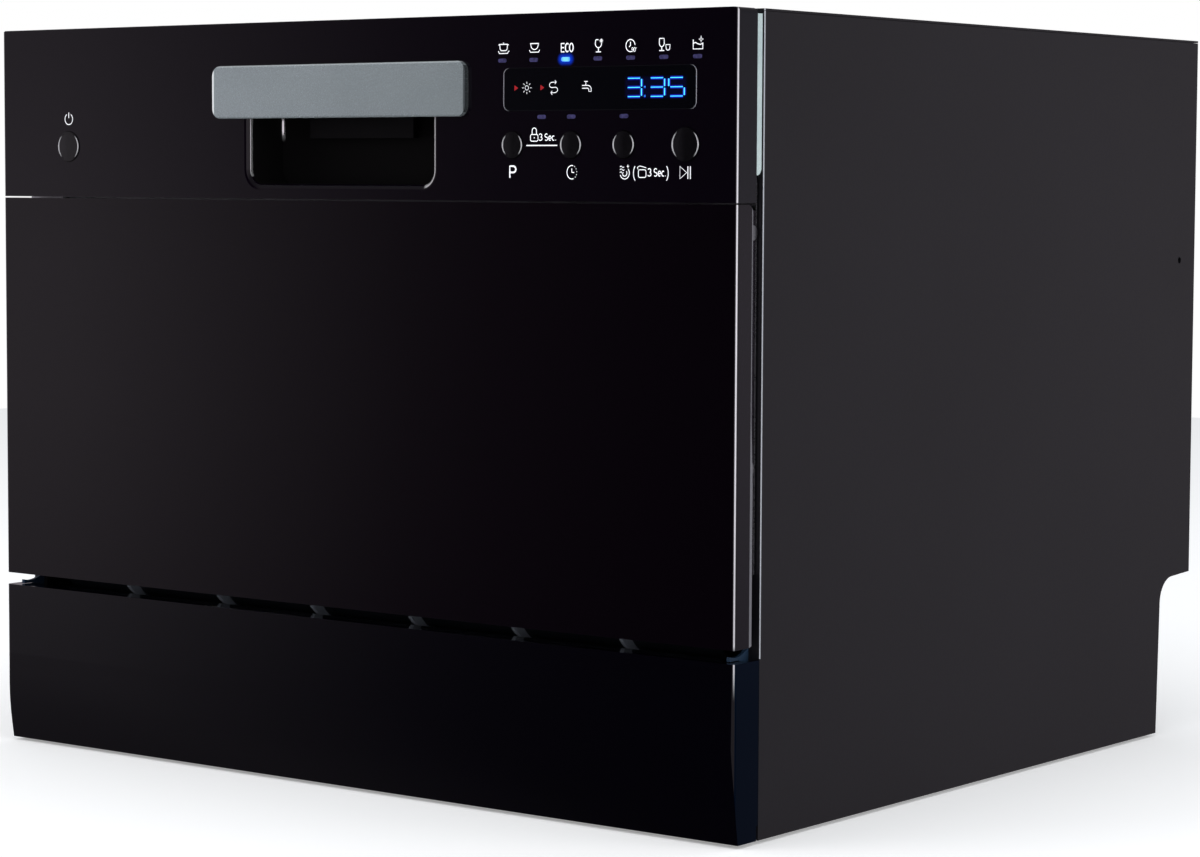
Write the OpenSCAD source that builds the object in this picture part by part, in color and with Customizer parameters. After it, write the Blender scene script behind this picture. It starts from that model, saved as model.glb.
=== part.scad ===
// Countertop dishwasher with a drop-down door, a coupled wire rack and a built-in base.
// X runs across the front, Y from the front to the rear, Z up from the counter.
// "Depth" in the names below is counted from the fascia front towards the rear.

/* [Overall] */
// Width over the side panels
body_w = 550; // [530:1:580]
// Depth from the fascia front to the rear edge
body_d = 505; // [495:1:540]
// Height over the feet
body_h = 438; // [434:1:455]
// How far the grip bar stands proud of the fascia
handle_proud = 3; // [2:0.5:6]
// Gap between pieces that fit
fit = 0.3; // [0.2:0.05:0.4]

/* [Cabinet] */
// Thickness of the outer steel panels
panel_t = 1; // [0.8:0.1:1.2]
// Depth at which the cabinet starts behind the door
cabinet_front = 23; // [22.6:0.1:24]
// Height of the feet under the base
foot_h = 2; // [1.5:0.5:4]
// Height at which the base tray ends
base_top = 92; // [90:0.5:93]
// How far the lower rear steps in for the connections
notch_d = 41.3; // [36:0.1:46]
// Height of the lower rear step
notch_h = 100; // [98:0.5:104]

/* [Front mouldings] */
// Wall of the moulded fronts
wall = 2.5; // [2:0.1:3]
// Radius of the front vertical edges
front_r = 2; // [1:0.1:2]
// Height of the control fascia
fascia_h = 100.6; // [98:0.1:104]
// Depth of the fascia's side band
fascia_band = 17; // [15:0.5:17.2]
// Radius of the fascia's top corners seen from the front
fascia_corner_r = 3; // [2:0.1:3]
// Seam between fascia and door panel
seam = 0.9; // [0.5:0.1:1.2]
// Height of the door panel's lower edge
door_z = 105.2; // [104.8:0.1:107]
// Depth of the door panel's side flange
door_flange = 14; // [12:0.5:15]
// Top of the plinth
plinth_top = 97.9; // [94:0.1:98.4]
// Height at which the plinth starts to curve in
plinth_bend_z = 55; // [45:1:65]
// How far the plinth curves in at its foot
plinth_tuck = 4.5; // [2:0.5:8]

/* [Grip] */
// Width of the grip bar
bar_w = 190; // [170:1:210]
// Height of the grip bar
bar_h = 30.3; // [24:0.1:32]
// Distance of the grip bar's top below the top of the machine
bar_drop = 24.5; // [22:0.1:27]
// Width of the finger recess
recess_w = 138; // [120:1:150]
// Depth of the finger recess
recess_d = 31.5; // [28:0.1:31.5]
// Height of the recess floor above the fascia's lower edge
recess_rise = 8.6; // [7:0.1:12]
// Corner radius of the finger recess
recess_r = 8; // [5:0.5:10]
// Rounding of the recess's front edge
recess_round = 3.5; // [2:0.1:4]
// Width of the release paddle
paddle_w = 78; // [60:1:86]

/* [Controls] */
// Distance of the last lamp from the right side
controls_edge = 26; // [24:0.5:32]
// Spacing of the programme lamps
lamp_pitch = 21.67; // [21:0.01:22]
// Diameter of the small buttons
button_d = 14.4; // [13:0.1:17]
// Diameter of the start button and the power button
start_d = 17.8; // [17:0.1:20]
// Button travel
button_travel = 1.2; // [0.8:0.1:1.4]
// Width of the display window
window_w = 128.4; // [120:0.1:132]
// Height of the display window
window_h = 22.8; // [20:0.1:24]

/* [Door] */
// Depth of the hinge axis
hinge_d = 11; // [10.8:0.1:11.4]
// Height of the hinge axis
hinge_z = 117; // [116.6:0.1:117.4]
// Radius of the hinge pin
hinge_pin_r = 3; // [2.5:0.1:3.4]
// Depth of the liner's flange
liner_d = 22; // [21.6:0.1:22.2]
// Depth of the liner's inner face
plug_d = 35; // [33.6:0.1:35.2]
// Thickness of the steel liner and tub
liner_t = 1.2; // [1:0.1:1.4]

/* [Tub] */
// Space between the tub's inside and the machine's side
tub_side = 25; // [25:0.5:29]
// Height of the tub floor
tub_z = 134; // [133.6:0.1:135]
// Gap between tub ceiling and machine top
tub_top_gap = 30; // [29:0.5:32]
// Gap between tub rear and machine rear
tub_rear_gap = 35; // [34:0.5:40]
// Thickness of the tub sheet
tub_t = 0.8; // [0.6:0.1:1]
// Corner radius of the tub
tub_r = 14; // [12:1:20]
// Width of the space between tub and door liner edge
plug_gap = 4; // [3.5:0.1:5]

/* [Rack] */
// Diameter of the rack wire
rack_wire = 3.4; // [3:0.1:3.6]
// Height of the rack floor
rack_z = 185; // [184:0.5:188]
// Depth at which the rack starts
rack_front = 77; // [76:0.5:80]
// Radius of the rack's front corner
rack_r = 25; // [22:0.5:27]
// Height of the rack's rear and side walls
rack_wall_h = 145; // [130:1:150]
// Height of the rack's front wall
rack_front_h = 105; // [95:1:112]
// Pitch of the wires across the rack
rack_pitch_x = 40; // [36:0.5:44]
// Pitch of the wires along the rack
rack_pitch_d = 42; // [38:0.5:44]
// Radius of the rack rollers
roller_r = 9.45; // [8:0.05:9.6]
// Reach of each arm of the spray arm
spray_reach = 165; // [140:1:166]
// Length of the cutlery basket
basket_l = 190; // [160:1:200]
// Height of the cutlery basket
basket_h = 105; // [90:1:108]

/* [Hidden] */
$fn = 48;

// Overall
half_w = body_w / 2;
front_y = handle_proud - (body_d + handle_proud) / 2;
inner_w = half_w - panel_t - fit;

// Front mouldings
fascia_z = body_h - fascia_h;
door_top = fascia_z - seam;
door_wall = 2;
bar_top = body_h - bar_drop;
bar_z = bar_top - bar_h;
bar_r = 6;
bar_edge_r = 1.2;
recess_z = fascia_z + recess_rise;
recess_top = body_h - 42;
plinth_band = cabinet_front - fit;

// Controls, placed from the right side and the top
window_x1 = half_w - controls_edge - 0.6;
window_x0 = window_x1 - window_w;
window_z1 = body_h - 29.2;
window_z0 = window_z1 - window_h;
window_r = 3.5;
lamp_z = body_h - 24.9;
option_lamp_z = body_h - 55.4;
option_lamp_x = [half_w - 128.8, half_w - 108.7, half_w - 73.5];
button_z = body_h - 70.4;
program_x = half_w - 148.8;
delay_x = half_w - 108.7;
dry_x = half_w - 73.5;
start_x = half_w - 33.2;
power_x = -half_w + 57.6;
lens_w = 5.8;
lens_h = 2.2;
lens_r = 1;
stem_r = 2.5;
switch_h = 1.5;
board_d = wall + 6.5;
board_t = 1.6;

// Liner and tub
tub_half = half_w - tub_side;
tub_top = body_h - tub_top_gap;
tub_front = 30;
tub_rear = body_d - tub_rear_gap;
sill_d = 40;
sill_drop = 16;
plug_half = tub_half - plug_gap;
plug_z0 = tub_z - 14;
plug_z1 = tub_top - 6;
plug_r = 12;
liner_z0 = door_z + 6.8;
liner_tray_top = door_top - 3;
liner_half = half_w - wall - fit - 0.2;
flange_half = tub_half + 16;
flange_top = tub_top + 12;
gasket_half = tub_half + 11;
gasket_w = 7;
notch_x0 = tub_half;
notch_x1 = tub_half + 18;
bracket_x = tub_half + 4;
bracket_t = 2;
arm_x = bracket_x + 4;
knuckle_r = 7;

// Dispenser on the liner
dispenser_z = 289;
dispenser_half = 95;
dispenser_h = 78;
dispenser_front = 4;
cup_x0 = 10;
cup_x1 = 70;
cup_h = 44;
lid_t = 3;
cap_x = -76;

// Latch
hook_d = 12;
hook_z = body_h - 15;
hook_pin_r = 2.5;
hook_half = 5;
lever_d = 15;
lever_z = body_h - 34;
lever_pin_r = 2.5;
latch_lift = 8;
striker_d = 38.5;
striker_z = body_h - 14.5;
striker_r = 2;

// Base machinery
filter_y = 165;
well_r = 80;
well_z = tub_z - 8;
cup_r = 42;
spray_y = 280;
spray_z = tub_z + 17;
spray_h = 13;
axle_r = 8;
salt_x = -half_w + 125;
salt_y = 100;
salt_r = 34;
float_x = half_w - 85;
float_y = 110;
valve_x = half_w - 95;
valve_z = 55;
spigot_x = half_w - 155;
spigot_z = 50;
gland_x = -half_w + 85;
gland_z = 55;
rear_wall_d = body_d - notch_d - 1.2;
notch_r = 16;
valve_d = rear_wall_d - 37.5;
foot_x = half_w - 35;
foot_d = [cabinet_front + 29, rear_wall_d - 32.5];
post_x = half_w - 50;
post_d = [rear_wall_d - 162.5, rear_wall_d - 42.5];
pump_d = 262;
pump_z = 52;
drain_pump_z = 42;
back_screw_x = half_w - 20;
back_screw_z = [notch_h + 20, body_h - 38];
vent_d = tub_front + 170;
vent_z = tub_top - 108;

// Rack
wire_r = rack_wire / 2;
rack_half = tub_half - 17;
rack_rear = tub_rear - 13;
cross = 2.6;
tine_r = wire_r - 0.2;
tine_h = 60;
tine_tip = 1.2;
floor_span = floor((2 * rack_half - 20) / rack_pitch_x) * rack_pitch_x;
floor_x = [for (x = [-floor_span / 2 : rack_pitch_x : floor_span / 2 + 0.1]) x];
floor_d = [for (d = [rack_front + 30 : rack_pitch_d : rack_rear - 7]) d];
rail_x = rack_half + wire_r + fit;
rail_t = 1.5;
roller_z = 263.3;
rail_inner = roller_r + fit;
roller_d = [rack_front - 19, rack_front + 148];
shelf_z = rack_z + 115;
shelf_axis_x = -rack_half + cross;
basket_x1 = rack_half - 13;
basket_x0 = basket_x1 - 92;
basket_d = 120;
basket_z = rack_z + cross + wire_r + fit;

// Box given by its corners: across, depth and height
module slab(x0, x1, d0, d1, z0, z1)
  translate([x0, front_y + d0, z0]) cube([x1 - x0, d1 - d0, z1 - z0]);

module both() {
  children();
  mirror([1, 0, 0]) children();
}

// Outline in depth and height, pushed across the machine
module across(x0, x1)
  translate([x0, front_y, 0]) rotate([90, 0, 90]) linear_extrude(height = x1 - x0) children();

// Outline in width and height, pushed towards the rear
module inwards(d0, d1)
  translate([0, front_y + d1, 0]) rotate([90, 0, 0]) linear_extrude(height = d1 - d0) children();

// Outline in width and depth, pushed up
module upwards(z0, z1)
  translate([0, front_y, z0]) linear_extrude(height = z1 - z0) children();

module rod_x(r, x0, x1, d, z)
  translate([x0, front_y + d, z]) rotate([0, 90, 0]) cylinder(r = r, h = x1 - x0);

module rod_d(r, d0, d1, x, z)
  translate([x, front_y + d0, z]) rotate([-90, 0, 0]) cylinder(r = r, h = d1 - d0);

module rod_z(r, z0, z1, x, d)
  translate([x, front_y + d, z0]) cylinder(r = r, h = z1 - z0);

module round_rect(x0, x1, z0, z1, r) {
  translate([x0 + r, z0]) square([x1 - x0 - 2 * r, z1 - z0]);
  translate([x0, z0 + r]) square([x1 - x0, z1 - z0 - 2 * r]);
  for (x = [x0 + r, x1 - r], z = [z0 + r, z1 - r]) translate([x, z]) circle(r = r);
}

// Full-width block with rounded front vertical edges
module front_block(z0, z1, back)
  upwards(z0, z1) {
    translate([-half_w, front_r]) square([body_w, back - front_r]);
    translate([front_r - half_w, 0]) square([body_w - 2 * front_r, back]);
    for (s = [-1, 1]) translate([s * (half_w - front_r), front_r]) circle(r = front_r);
  }

// ---------------------------------------------------------------- cabinet

// Outline of the step at the lower rear, with its concave corner
module rear_step(inset) {
  d0 = body_d - notch_d;
  corner_d = d0 + 2.8 + notch_r;
  corner_z = notch_h - notch_r;
  polygon([[d0 - inset, -1], [corner_d - notch_r - inset, corner_z], [corner_d, corner_z],
    [corner_d, notch_h + inset], [body_d + 1, notch_h + inset + 1.2], [body_d + 1, -1]]);
  translate([corner_d, corner_z]) circle(r = notch_r + inset);
}

module base_frame() {
  color("#1c1d1f") difference() {
    union() {
      slab(-inner_w, inner_w, cabinet_front + 1.3, rear_wall_d, foot_h, foot_h + 3);
      both() slab(inner_w - wall, inner_w, cabinet_front + 1.3, rear_wall_d, foot_h, base_top);
      slab(-inner_w, inner_w, cabinet_front + 1.3, cabinet_front + 3.8, foot_h, 84.5);
      slab(-inner_w, inner_w, rear_wall_d - wall, rear_wall_d, foot_h, base_top);
      // carrier rib for the splash guard
      slab(-inner_w, inner_w, 52, 54.5, foot_h, 90.7);
      // floor ribs
      for (x = [-220 : 55 : 220]) slab(x - 1, x + 1, 54, rear_wall_d - 1, foot_h, foot_h + 10);
      for (d = [110, 330, 390]) slab(-inner_w + 1, inner_w - 1, d - 1, d + 1, foot_h, foot_h + 10);
      // posts under the tub
      for (x = [-post_x, post_x], d = post_d) rod_z(9, foot_h, tub_z - tub_t - fit, x, d);
      // cradles of the pumps and the softener
      for (x = [50, 120]) slab(x - 2, x + 2, pump_d - 37, pump_d + 37, foot_h, pump_z - 30);
      for (x = [-105, -75]) slab(x - 2, x + 2, filter_y - 19, filter_y + 19, foot_h, drain_pump_z - 20);
      for (d = [salt_y - 30, salt_y + 25]) slab(salt_x - 55, salt_x + 50, d - 1, d + 1, foot_h, 20 - fit);
      for (s = [-1, 1]) slab(valve_x + s * 14 - 1.5, valve_x + s * 14 + 1.5, valve_d - 20, rear_wall_d - wall,
        foot_h, valve_z - 20 - fit);
      // guide post of the leak float
      rod_z(3, foot_h, 36, float_x, float_y);
      rod_z(12, foot_h, 7.5, float_x, float_y);
    }
    // seats of the feet
    for (x = [-foot_x, foot_x], d = foot_d) rod_z(6 + fit, foot_h - 1, foot_h + 20, x, d);
    // room for the pumps' round bodies
    rod_x(34 + fit, 30, 152, pump_d, pump_z);
    rod_x(22 + fit, -121, -56, filter_y, drain_pump_z);
    // openings of the rear connections
    rod_d(13.2 + 1, rear_wall_d - 5, rear_wall_d + 1, valve_x, valve_z);
    rod_d(9.5 + 1, rear_wall_d - 5, rear_wall_d + 1, spigot_x, spigot_z);
    rod_d(9 + fit, rear_wall_d - 5, rear_wall_d + 1, gland_x, gland_z);
    // room for the leak float
    difference() {
      rod_z(23, 7.5, 60, float_x, float_y);
      rod_z(3, 0, 61, float_x, float_y);
    }
  }
}

module feet() {
  color("#2a2a2a") for (x = [-foot_x, foot_x], d = foot_d) {
    rod_z(17, 0, foot_h, x, d);
    rod_z(6, foot_h - 0.1, foot_h + 9, x, d);
  }
}

module plinth() {
  bend_r = (pow(plinth_bend_z - foot_h, 2) + pow(plinth_tuck, 2)) / (2 * plinth_tuck);
  color("#0d0d10") difference() {
    intersection() {
      front_block(foot_h, plinth_top, plinth_band);
      across(-half_w, half_w) {
        translate([-1, plinth_bend_z]) square([60, 60]);
        intersection() {
          translate([-1, 0]) square([60, plinth_bend_z + 0.01]);
          translate([bend_r, plinth_bend_z]) circle(r = bend_r, $fn = 240);
        }
      }
    }
    // hollow behind the front, open at the rear and below
    intersection() {
      slab(-half_w + wall, half_w - wall, wall, 60, foot_h - 1, plinth_top - wall);
      across(-half_w, half_w) {
        translate([wall, plinth_bend_z]) square([60, 60]);
        intersection() {
          translate([0, -1]) square([60, plinth_bend_z + 1.01]);
          translate([bend_r, plinth_bend_z]) circle(r = bend_r - wall, $fn = 240);
        }
      }
    }
    slab(-half_w + wall, half_w - wall, 14, 60, foot_h - 1, plinth_top + 1);
    // side edges follow the foot's curve
    slab(-half_w - 1, half_w + 1, plinth_band - 1.4, 60, foot_h - 1, foot_h + 8);
  }
  // stiffening ribs and clips towards the base
  color("#0d0d10") for (x = [-220 : 88 : 220])
    slab(x - 1, x + 1, wall + 2, cabinet_front + 1, plinth_bend_z, plinth_top - wall - 1);
  color("#0d0d10") slab(-half_w + wall - 0.5, half_w - wall + 0.5, wall - 0.5, 8, plinth_bend_z, plinth_bend_z + 2);
}

module side_panel() {
  color("#2b2c30") {
    difference() {
      across(half_w - panel_t, half_w) difference() {
        translate([cabinet_front, foot_h]) square([body_d - cabinet_front, body_h - 1.5 - foot_h]);
        rear_step(0);
      }
      // screw hole of the hinge side
      rod_x(2, half_w - 5, half_w + 1, body_d - 20, 300);
    }
    // folded front edge
    slab(half_w - 11, half_w - panel_t + 0.01, cabinet_front, cabinet_front + panel_t,
      foot_h + 3, body_h - 1.5);
    // folded rear edge
    slab(half_w - 9, half_w - panel_t + 0.01, body_d - 1, body_d, notch_h + 6, body_h - 1.5);
  }
}

module side_panel_right() side_panel();
module side_panel_left() mirror([1, 0, 0]) side_panel();

module top_panel() {
  t = 1.2;
  skirt = 13;
  color("#232428") {
    slab(-half_w, half_w, cabinet_front, body_d, body_h - t, body_h);
    both() slab(inner_w - 1, inner_w, cabinet_front + 3, body_d - 6, body_h - skirt, body_h - t + 0.01);
    both() slab(30, half_w - 14, cabinet_front + 1.3, cabinet_front + 2.3, flange_top + 2, body_h - t + 0.01);
    slab(-inner_w + 12, inner_w - 12, body_d - 6, body_d - 5, body_h - skirt, body_h - t + 0.01);
  }
}

module back_panel() {
  d0 = body_d - notch_d;
  corner_d = d0 + 2.8 + notch_r;
  corner_z = notch_h - notch_r;
  outer = notch_r + 4;
  w = inner_w;
  color("#3a3b3e") difference() {
    union() {
      across(-w, w) difference() {
        union() {
          translate([corner_d - outer, foot_h + 4]) square([1, corner_z - foot_h - 4]);
          intersection() {
            translate([corner_d, corner_z]) difference() {
              circle(r = outer);
              circle(r = outer - 1);
            }
            translate([corner_d - outer - 1, corner_z]) square([outer + 1, outer + 1]);
          }
          translate([corner_d, corner_z + outer - 1]) square([body_d - 2 - corner_d, 1]);
          translate([body_d - 3, corner_z + outer - 1]) square([1, body_h - 16 - corner_z - outer]);
        }
      }
      // pressed stiffening frame
      inwards(body_d - 4.5, body_d - 2.9) difference() {
        round_rect(-half_w + 95, half_w - 95, notch_h + 60, body_h - 68, 14);
        round_rect(-half_w + 107, half_w - 107, notch_h + 72, body_h - 80, 8);
      }
    }
    rod_d(13.2 + 1.5, rear_wall_d - 22.5, body_d, valve_x, valve_z);
    rod_d(9.5 + 1.5, rear_wall_d - 22.5, body_d, spigot_x, spigot_z);
    rod_d(9 + fit, rear_wall_d - 22.5, body_d - 10, gland_x, gland_z);
    for (x = [-60 : 12 : 60]) inwards(body_d - 6, body_d + 1)
      round_rect(x - 2, x + 2, body_h - 48, body_h - 26, 1.9);
    for (s = [-3, -1, 1, 3], z = back_screw_z) rod_d(2.2, body_d - 6, body_d, s * back_screw_x / 3, z);
  }
}

module cabinet_screws() {
  color("#b9bcc0") for (s = [-3, -1, 1, 3], z = back_screw_z) translate([s * back_screw_x / 3, 0, z])
    difference() {
      union() {
        rod_d(1.9, body_d - 12, body_d - 2 + fit, 0, 0);
        rod_d(4, body_d - 2 + fit, body_d - 0.2, 0, 0);
      }
      slab(-2.4, 2.4, body_d - 0.9, body_d, -0.5, 0.5);
      slab(-0.5, 0.5, body_d - 0.9, body_d, -2.4, 2.4);
    }
}

// Curved gutter under the door, with ribs on its outer side and an end plate at each side
module splash_guard() {
  cd = 46;
  cz = 115;
  inner_r = 22.4;
  shell = 1.6;
  foot_end = 59.4;
  front_end = cd - 40;
  rib_r = 30;
  rib_half = 1.25;
  rib_pitch = 75;
  end_drop = 12;
  swing_r = sqrt(pow(hinge_d, 2) + pow(hinge_z - door_z, 2)) + 1;
  color("#303a48") {
    across(-tub_half + 2, tub_half - 2) {
      intersection() {
        translate([cd, cz]) difference() {
          circle(r = inner_r + shell, $fn = 96);
          circle(r = inner_r, $fn = 96);
        }
        polygon([[cd, cz], [front_end, cz - 27], [front_end, cz - 60], [cd, cz - 60]]);
      }
      translate([cd, cz - inner_r - shell]) square([foot_end - cd, shell]);
    }
    for (i = [-3 : 2]) translate([(i + 0.5) * rib_pitch, 0, 0]) across(-rib_half, rib_half) difference() {
      intersection() {
        translate([cd - 5, cz + 6]) circle(r = rib_r, $fn = 96);
        translate([0, plinth_top - 8]) square([front_end + 34, 20]);
      }
      translate([cd, cz]) circle(r = inner_r + shell / 2, $fn = 96);
      translate([hinge_d, hinge_z]) circle(r = swing_r, $fn = 96);
    }
    both() across(half_w - 9, half_w - 6.8) difference() {
      polygon([[front_end, plinth_top + fit], [14 + fit, plinth_top + fit], [14 + fit, plinth_top - end_drop],
        [plinth_band, plinth_top - end_drop], [plinth_band, door_z], [front_end, door_z]]);
      translate([hinge_d, hinge_z]) circle(r = swing_r, $fn = 96);
    }
  }
}

module cable_gland() {
  color("#151515") difference() {
    union() {
      rod_d(9, rear_wall_d - 6, rear_wall_d + 6, gland_x, gland_z);
      rod_d(12, rear_wall_d + 1.6, rear_wall_d + 4, gland_x, gland_z);
      translate([gland_x, front_y + rear_wall_d + 5.99, gland_z]) rotate([-90, 0, 0])
        cylinder(r1 = 8, r2 = 5.5, h = 20);
    }
    rod_d(3.8, rear_wall_d - 7, rear_wall_d + 30, gland_x, gland_z);
  }
}

// ---------------------------------------------------------------- tub and its machinery

module tub() {
  t = tub_t;
  color("#b7babd") difference() {
    union() {
      // shell behind the sill
      difference() {
        inwards(tub_front, tub_rear + t) round_rect(-tub_half - t, tub_half + t, tub_z - t, tub_top + t, tub_r + t);
        inwards(tub_front - 1, tub_rear) round_rect(-tub_half, tub_half, tub_z, tub_top, tub_r);
        slab(-tub_half - 2, tub_half + 2, 0, sill_d, 0, tub_z + tub_r + 2);
      }
      // sill turned down at the front
      difference() {
        slab(-tub_half - t, tub_half + t, sill_d, sill_d + t, tub_z - sill_drop, tub_z + tub_r + 2);
        inwards(sill_d - 1, sill_d + 2) round_rect(-tub_half, tub_half, tub_z, tub_top, tub_r);
      }
      both() slab(tub_half, tub_half + t, tub_front, sill_d + t, tub_z - sill_drop, tub_z + tub_r + 2.01);
      // flange for the gasket
      inwards(tub_front, tub_front + t) difference() {
        round_rect(-flange_half, flange_half, tub_z - 40, flange_top, 8);
        round_rect(-tub_half, tub_half, tub_z - 60, tub_top, tub_r);
        translate([-flange_half - 1, 0]) square([2 * flange_half + 2, tub_z - 4]);
      }
      // well round the filter
      rod_z(well_r + t, well_z - t, tub_z - t / 2, 0, filter_y);
      // pressed beads in the ceiling and the rear wall
      for (x = [-150, 0, 150]) inwards(70, tub_rear - 40)
        translate([x, tub_top + 0.3]) difference() {
          circle(r = 6);
          translate([-7, -7]) square([14, 7]);
        }
      // rims round the pipe holes
      rod_x(23, -tub_half - 3, -tub_half - t / 2, vent_d, vent_z);
    }
    rod_z(well_r, well_z, tub_z + 1, 0, filter_y);
    rod_z(50, well_z - 2, tub_z + 1, 0, filter_y);
    rod_z(12 + fit, well_z - 2, tub_z + 1, 0, spray_y);
    rod_z(salt_r, well_z - 2, tub_z + 1, salt_x, salt_y);
    rod_x(20, -tub_half - 4, -tub_half + 1, vent_d, vent_z);
    both() for (d = roller_d) rod_x(3.3, tub_half - 1, tub_half + 2, d, roller_z);
    // hollow of the beads
    for (x = [-150, 0, 150]) inwards(71, tub_rear - 41) translate([x, tub_top - 0.5]) circle(r = 5.2);
  }
}

module tub_gasket() {
  color("#17181a") {
    inwards(tub_front - 4, tub_front - fit) difference() {
      round_rect(-gasket_half, gasket_half, tub_z - 30, tub_top + 1.5 + gasket_w, 16);
      round_rect(-gasket_half + gasket_w + 2, gasket_half - gasket_w - 2, tub_z - 60, tub_top + 1.5, 12);
      translate([-flange_half, 0]) square([2 * flange_half, tub_z - 3]);
    }
    inwards(liner_d + fit, tub_front - 3.99) difference() {
      round_rect(-gasket_half + 2, gasket_half - 2, tub_z - 30, tub_top - 0.5 + gasket_w, 14);
      round_rect(-gasket_half + 5, gasket_half - 5, tub_z - 60, tub_top + 3.5, 12);
      translate([-flange_half, 0]) square([2 * flange_half, tub_z - 3]);
    }
  }
}

module sump() {
  color("#5a5f63") difference() {
    union() {
      rod_z(56, 30, well_z - tub_t - fit, 0, filter_y);
      rod_z(66, well_z - 5, well_z - tub_t - fit, 0, filter_y);
      slab(-18, 18, filter_y, spray_y, 98, well_z - tub_t - fit);
      rod_z(18, 98, well_z - tub_t - fit, 0, spray_y);
      rod_z(16, 98, tub_z - tub_t - fit, 0, spray_y);
      // spray axle through the tub floor
      rod_z(12, 98, spray_z - fit, 0, spray_y);
      rod_z(axle_r, 98, spray_z + 8.7, 0, spray_y);
      both() slab(56 - 1, 72, filter_y - 8, filter_y + 8, well_z - 5, well_z - tub_t - fit);
    }
    rod_z(49.7, 36, well_z + 1, 0, filter_y);
    rod_d(10, filter_y + 40, filter_y + 60, 0, pump_z);
    rod_x(8, -60, -45, filter_y, 45);
    rod_z(5, 104, spray_z + 10, 0, spray_y);
  }
}

module filter_plate() {
  color("#8d9296") difference() {
    union() {
      rod_z(well_r - fit, well_z + fit, well_z + fit + 1.2, 0, filter_y);
      difference() {
        rod_z(well_r - fit, well_z + fit, tub_z - 0.5, 0, filter_y);
        rod_z(well_r - 2, well_z, tub_z, 0, filter_y);
      }
      rod_z(cup_r + 4, well_z + fit, well_z + 4, 0, filter_y);
    }
    rod_z(cup_r + fit, well_z - 1, tub_z + 1, 0, filter_y);
    // fine slots in two rings
    for (a = [0 : 15 : 345]) translate([0, front_y + filter_y, 0]) rotate([0, 0, a])
      translate([cup_r + 8, -1.5, well_z - 1]) cube([22, 3, 10]);
  }
}

module filter_cup() {
  color("#c9cdd0") difference() {
    union() {
      rod_z(cup_r, 60, tub_z - 2, 0, filter_y);
      rod_z(cup_r + 3, well_z + 4 + fit, tub_z - 0.5, 0, filter_y);
      // grip on top
      slab(-30, 30, filter_y - 3, filter_y + 3, tub_z - 3, tub_z + 11);
      rod_z(10, tub_z - 3, tub_z + 9, 0, filter_y);
    }
    difference() {
      rod_z(cup_r - 2, 62, tub_z - 4, 0, filter_y);
      rod_z(4, 60, tub_z, 0, filter_y);
    }
    // windows of the mesh cylinder
    for (a = [0 : 30 : 150]) translate([0, front_y + filter_y, 0]) rotate([0, 0, a])
      translate([-60, -5, 68]) cube([120, 10, 48]);
    // inlets on top
    for (a = [30 : 60 : 330]) translate([0, front_y + filter_y, 0]) rotate([0, 0, a])
      translate([26, 0, tub_z - 8]) cylinder(r = 6, h = 20);
  }
}

module wash_pump() {
  d = pump_d;
  z = pump_z;
  color("#70757a") {
    rod_x(36, -14, 14, d, z);
    rod_x(34, 13.9, 30, d, z);
    rod_x(33.5, 29.9, 150, d, z);
    rod_x(20, 149.9, 158, d, z);
    rod_z(12, 80, 97.7, 0, d);
    rod_d(10, filter_y + 56 + fit, d - 20, 0, z);
    // heater connection and fins of the motor
    slab(40, 60, d - 8, d + 8, z + 30, z + 42);
    for (x = [75 : 12 : 135]) rod_x(36, x, x + 4, d, z);
  }
}

module drain_pump() {
  color("#595e63") {
    rod_x(21.7, -120, -85, filter_y, drain_pump_z);
    rod_x(16, -85.1, -56 - fit, filter_y, drain_pump_z);
    rod_z(7, drain_pump_z + 8, 88, -100, filter_y);
    rod_x(24, -92, -86, filter_y, drain_pump_z);
  }
}

module softener() {
  neck_top = tub_z + 2;
  color("#d9dbdc") difference() {
    union() {
      slab(salt_x - 65, salt_x + 60, salt_y - 38, salt_y + 38, 20, tub_z - 30);
      for (x = [salt_x - 50 : 22 : salt_x + 40]) slab(x, x + 3, salt_y - 40, salt_y + 40, 24, tub_z - 34);
      rod_z(salt_r + 4, tub_z - 30, tub_z - tub_t - fit, salt_x, salt_y);
      rod_z(salt_r - fit, tub_z - 30.1, neck_top, salt_x, salt_y);
    }
    rod_z(27, 30, neck_top + 1, salt_x, salt_y);
  }
}

module salt_cap() {
  z = tub_z + 2 + fit;
  color("#e6e6e6") difference() {
    union() {
      rod_z(33, z, z + 7, salt_x, salt_y);
      rod_z(26.5, z - 9, z + 0.01, salt_x, salt_y);
      slab(salt_x - 24, salt_x + 24, salt_y - 3, salt_y + 3, z + 6.9, z + 11);
    }
    for (a = [0 : 20 : 340]) translate([salt_x, front_y + salt_y, z - 0.1]) rotate([0, 0, a])
      translate([33.6, 0, 0]) cylinder(r = 1.6, h = 12);
    rod_z(23, z - 10, z - 2, salt_x, salt_y);
  }
}

module leak_float() {
  color("#f0efe8") difference() {
    rod_z(20, 7.8, 20, float_x, float_y);
    rod_z(3 + fit, 7, 21, float_x, float_y);
  }
}

module inlet_valve() {
  color("#e2e2df") difference() {
    union() {
      slab(valve_x - 22, valve_x + 22, valve_d - 17, rear_wall_d - wall - fit, valve_z - 20, valve_z + 23);
      rod_z(15, valve_z + 22.9, valve_z + 45, valve_x, valve_d);
      rod_d(13.2, rear_wall_d - wall - fit - 0.1, body_d - 17, valve_x, valve_z);
    }
    rod_d(9, rear_wall_d - 2, body_d, valve_x, valve_z);
    rod_z(5, valve_z + 35, valve_z + 46, valve_x, valve_d);
  }
}

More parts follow.
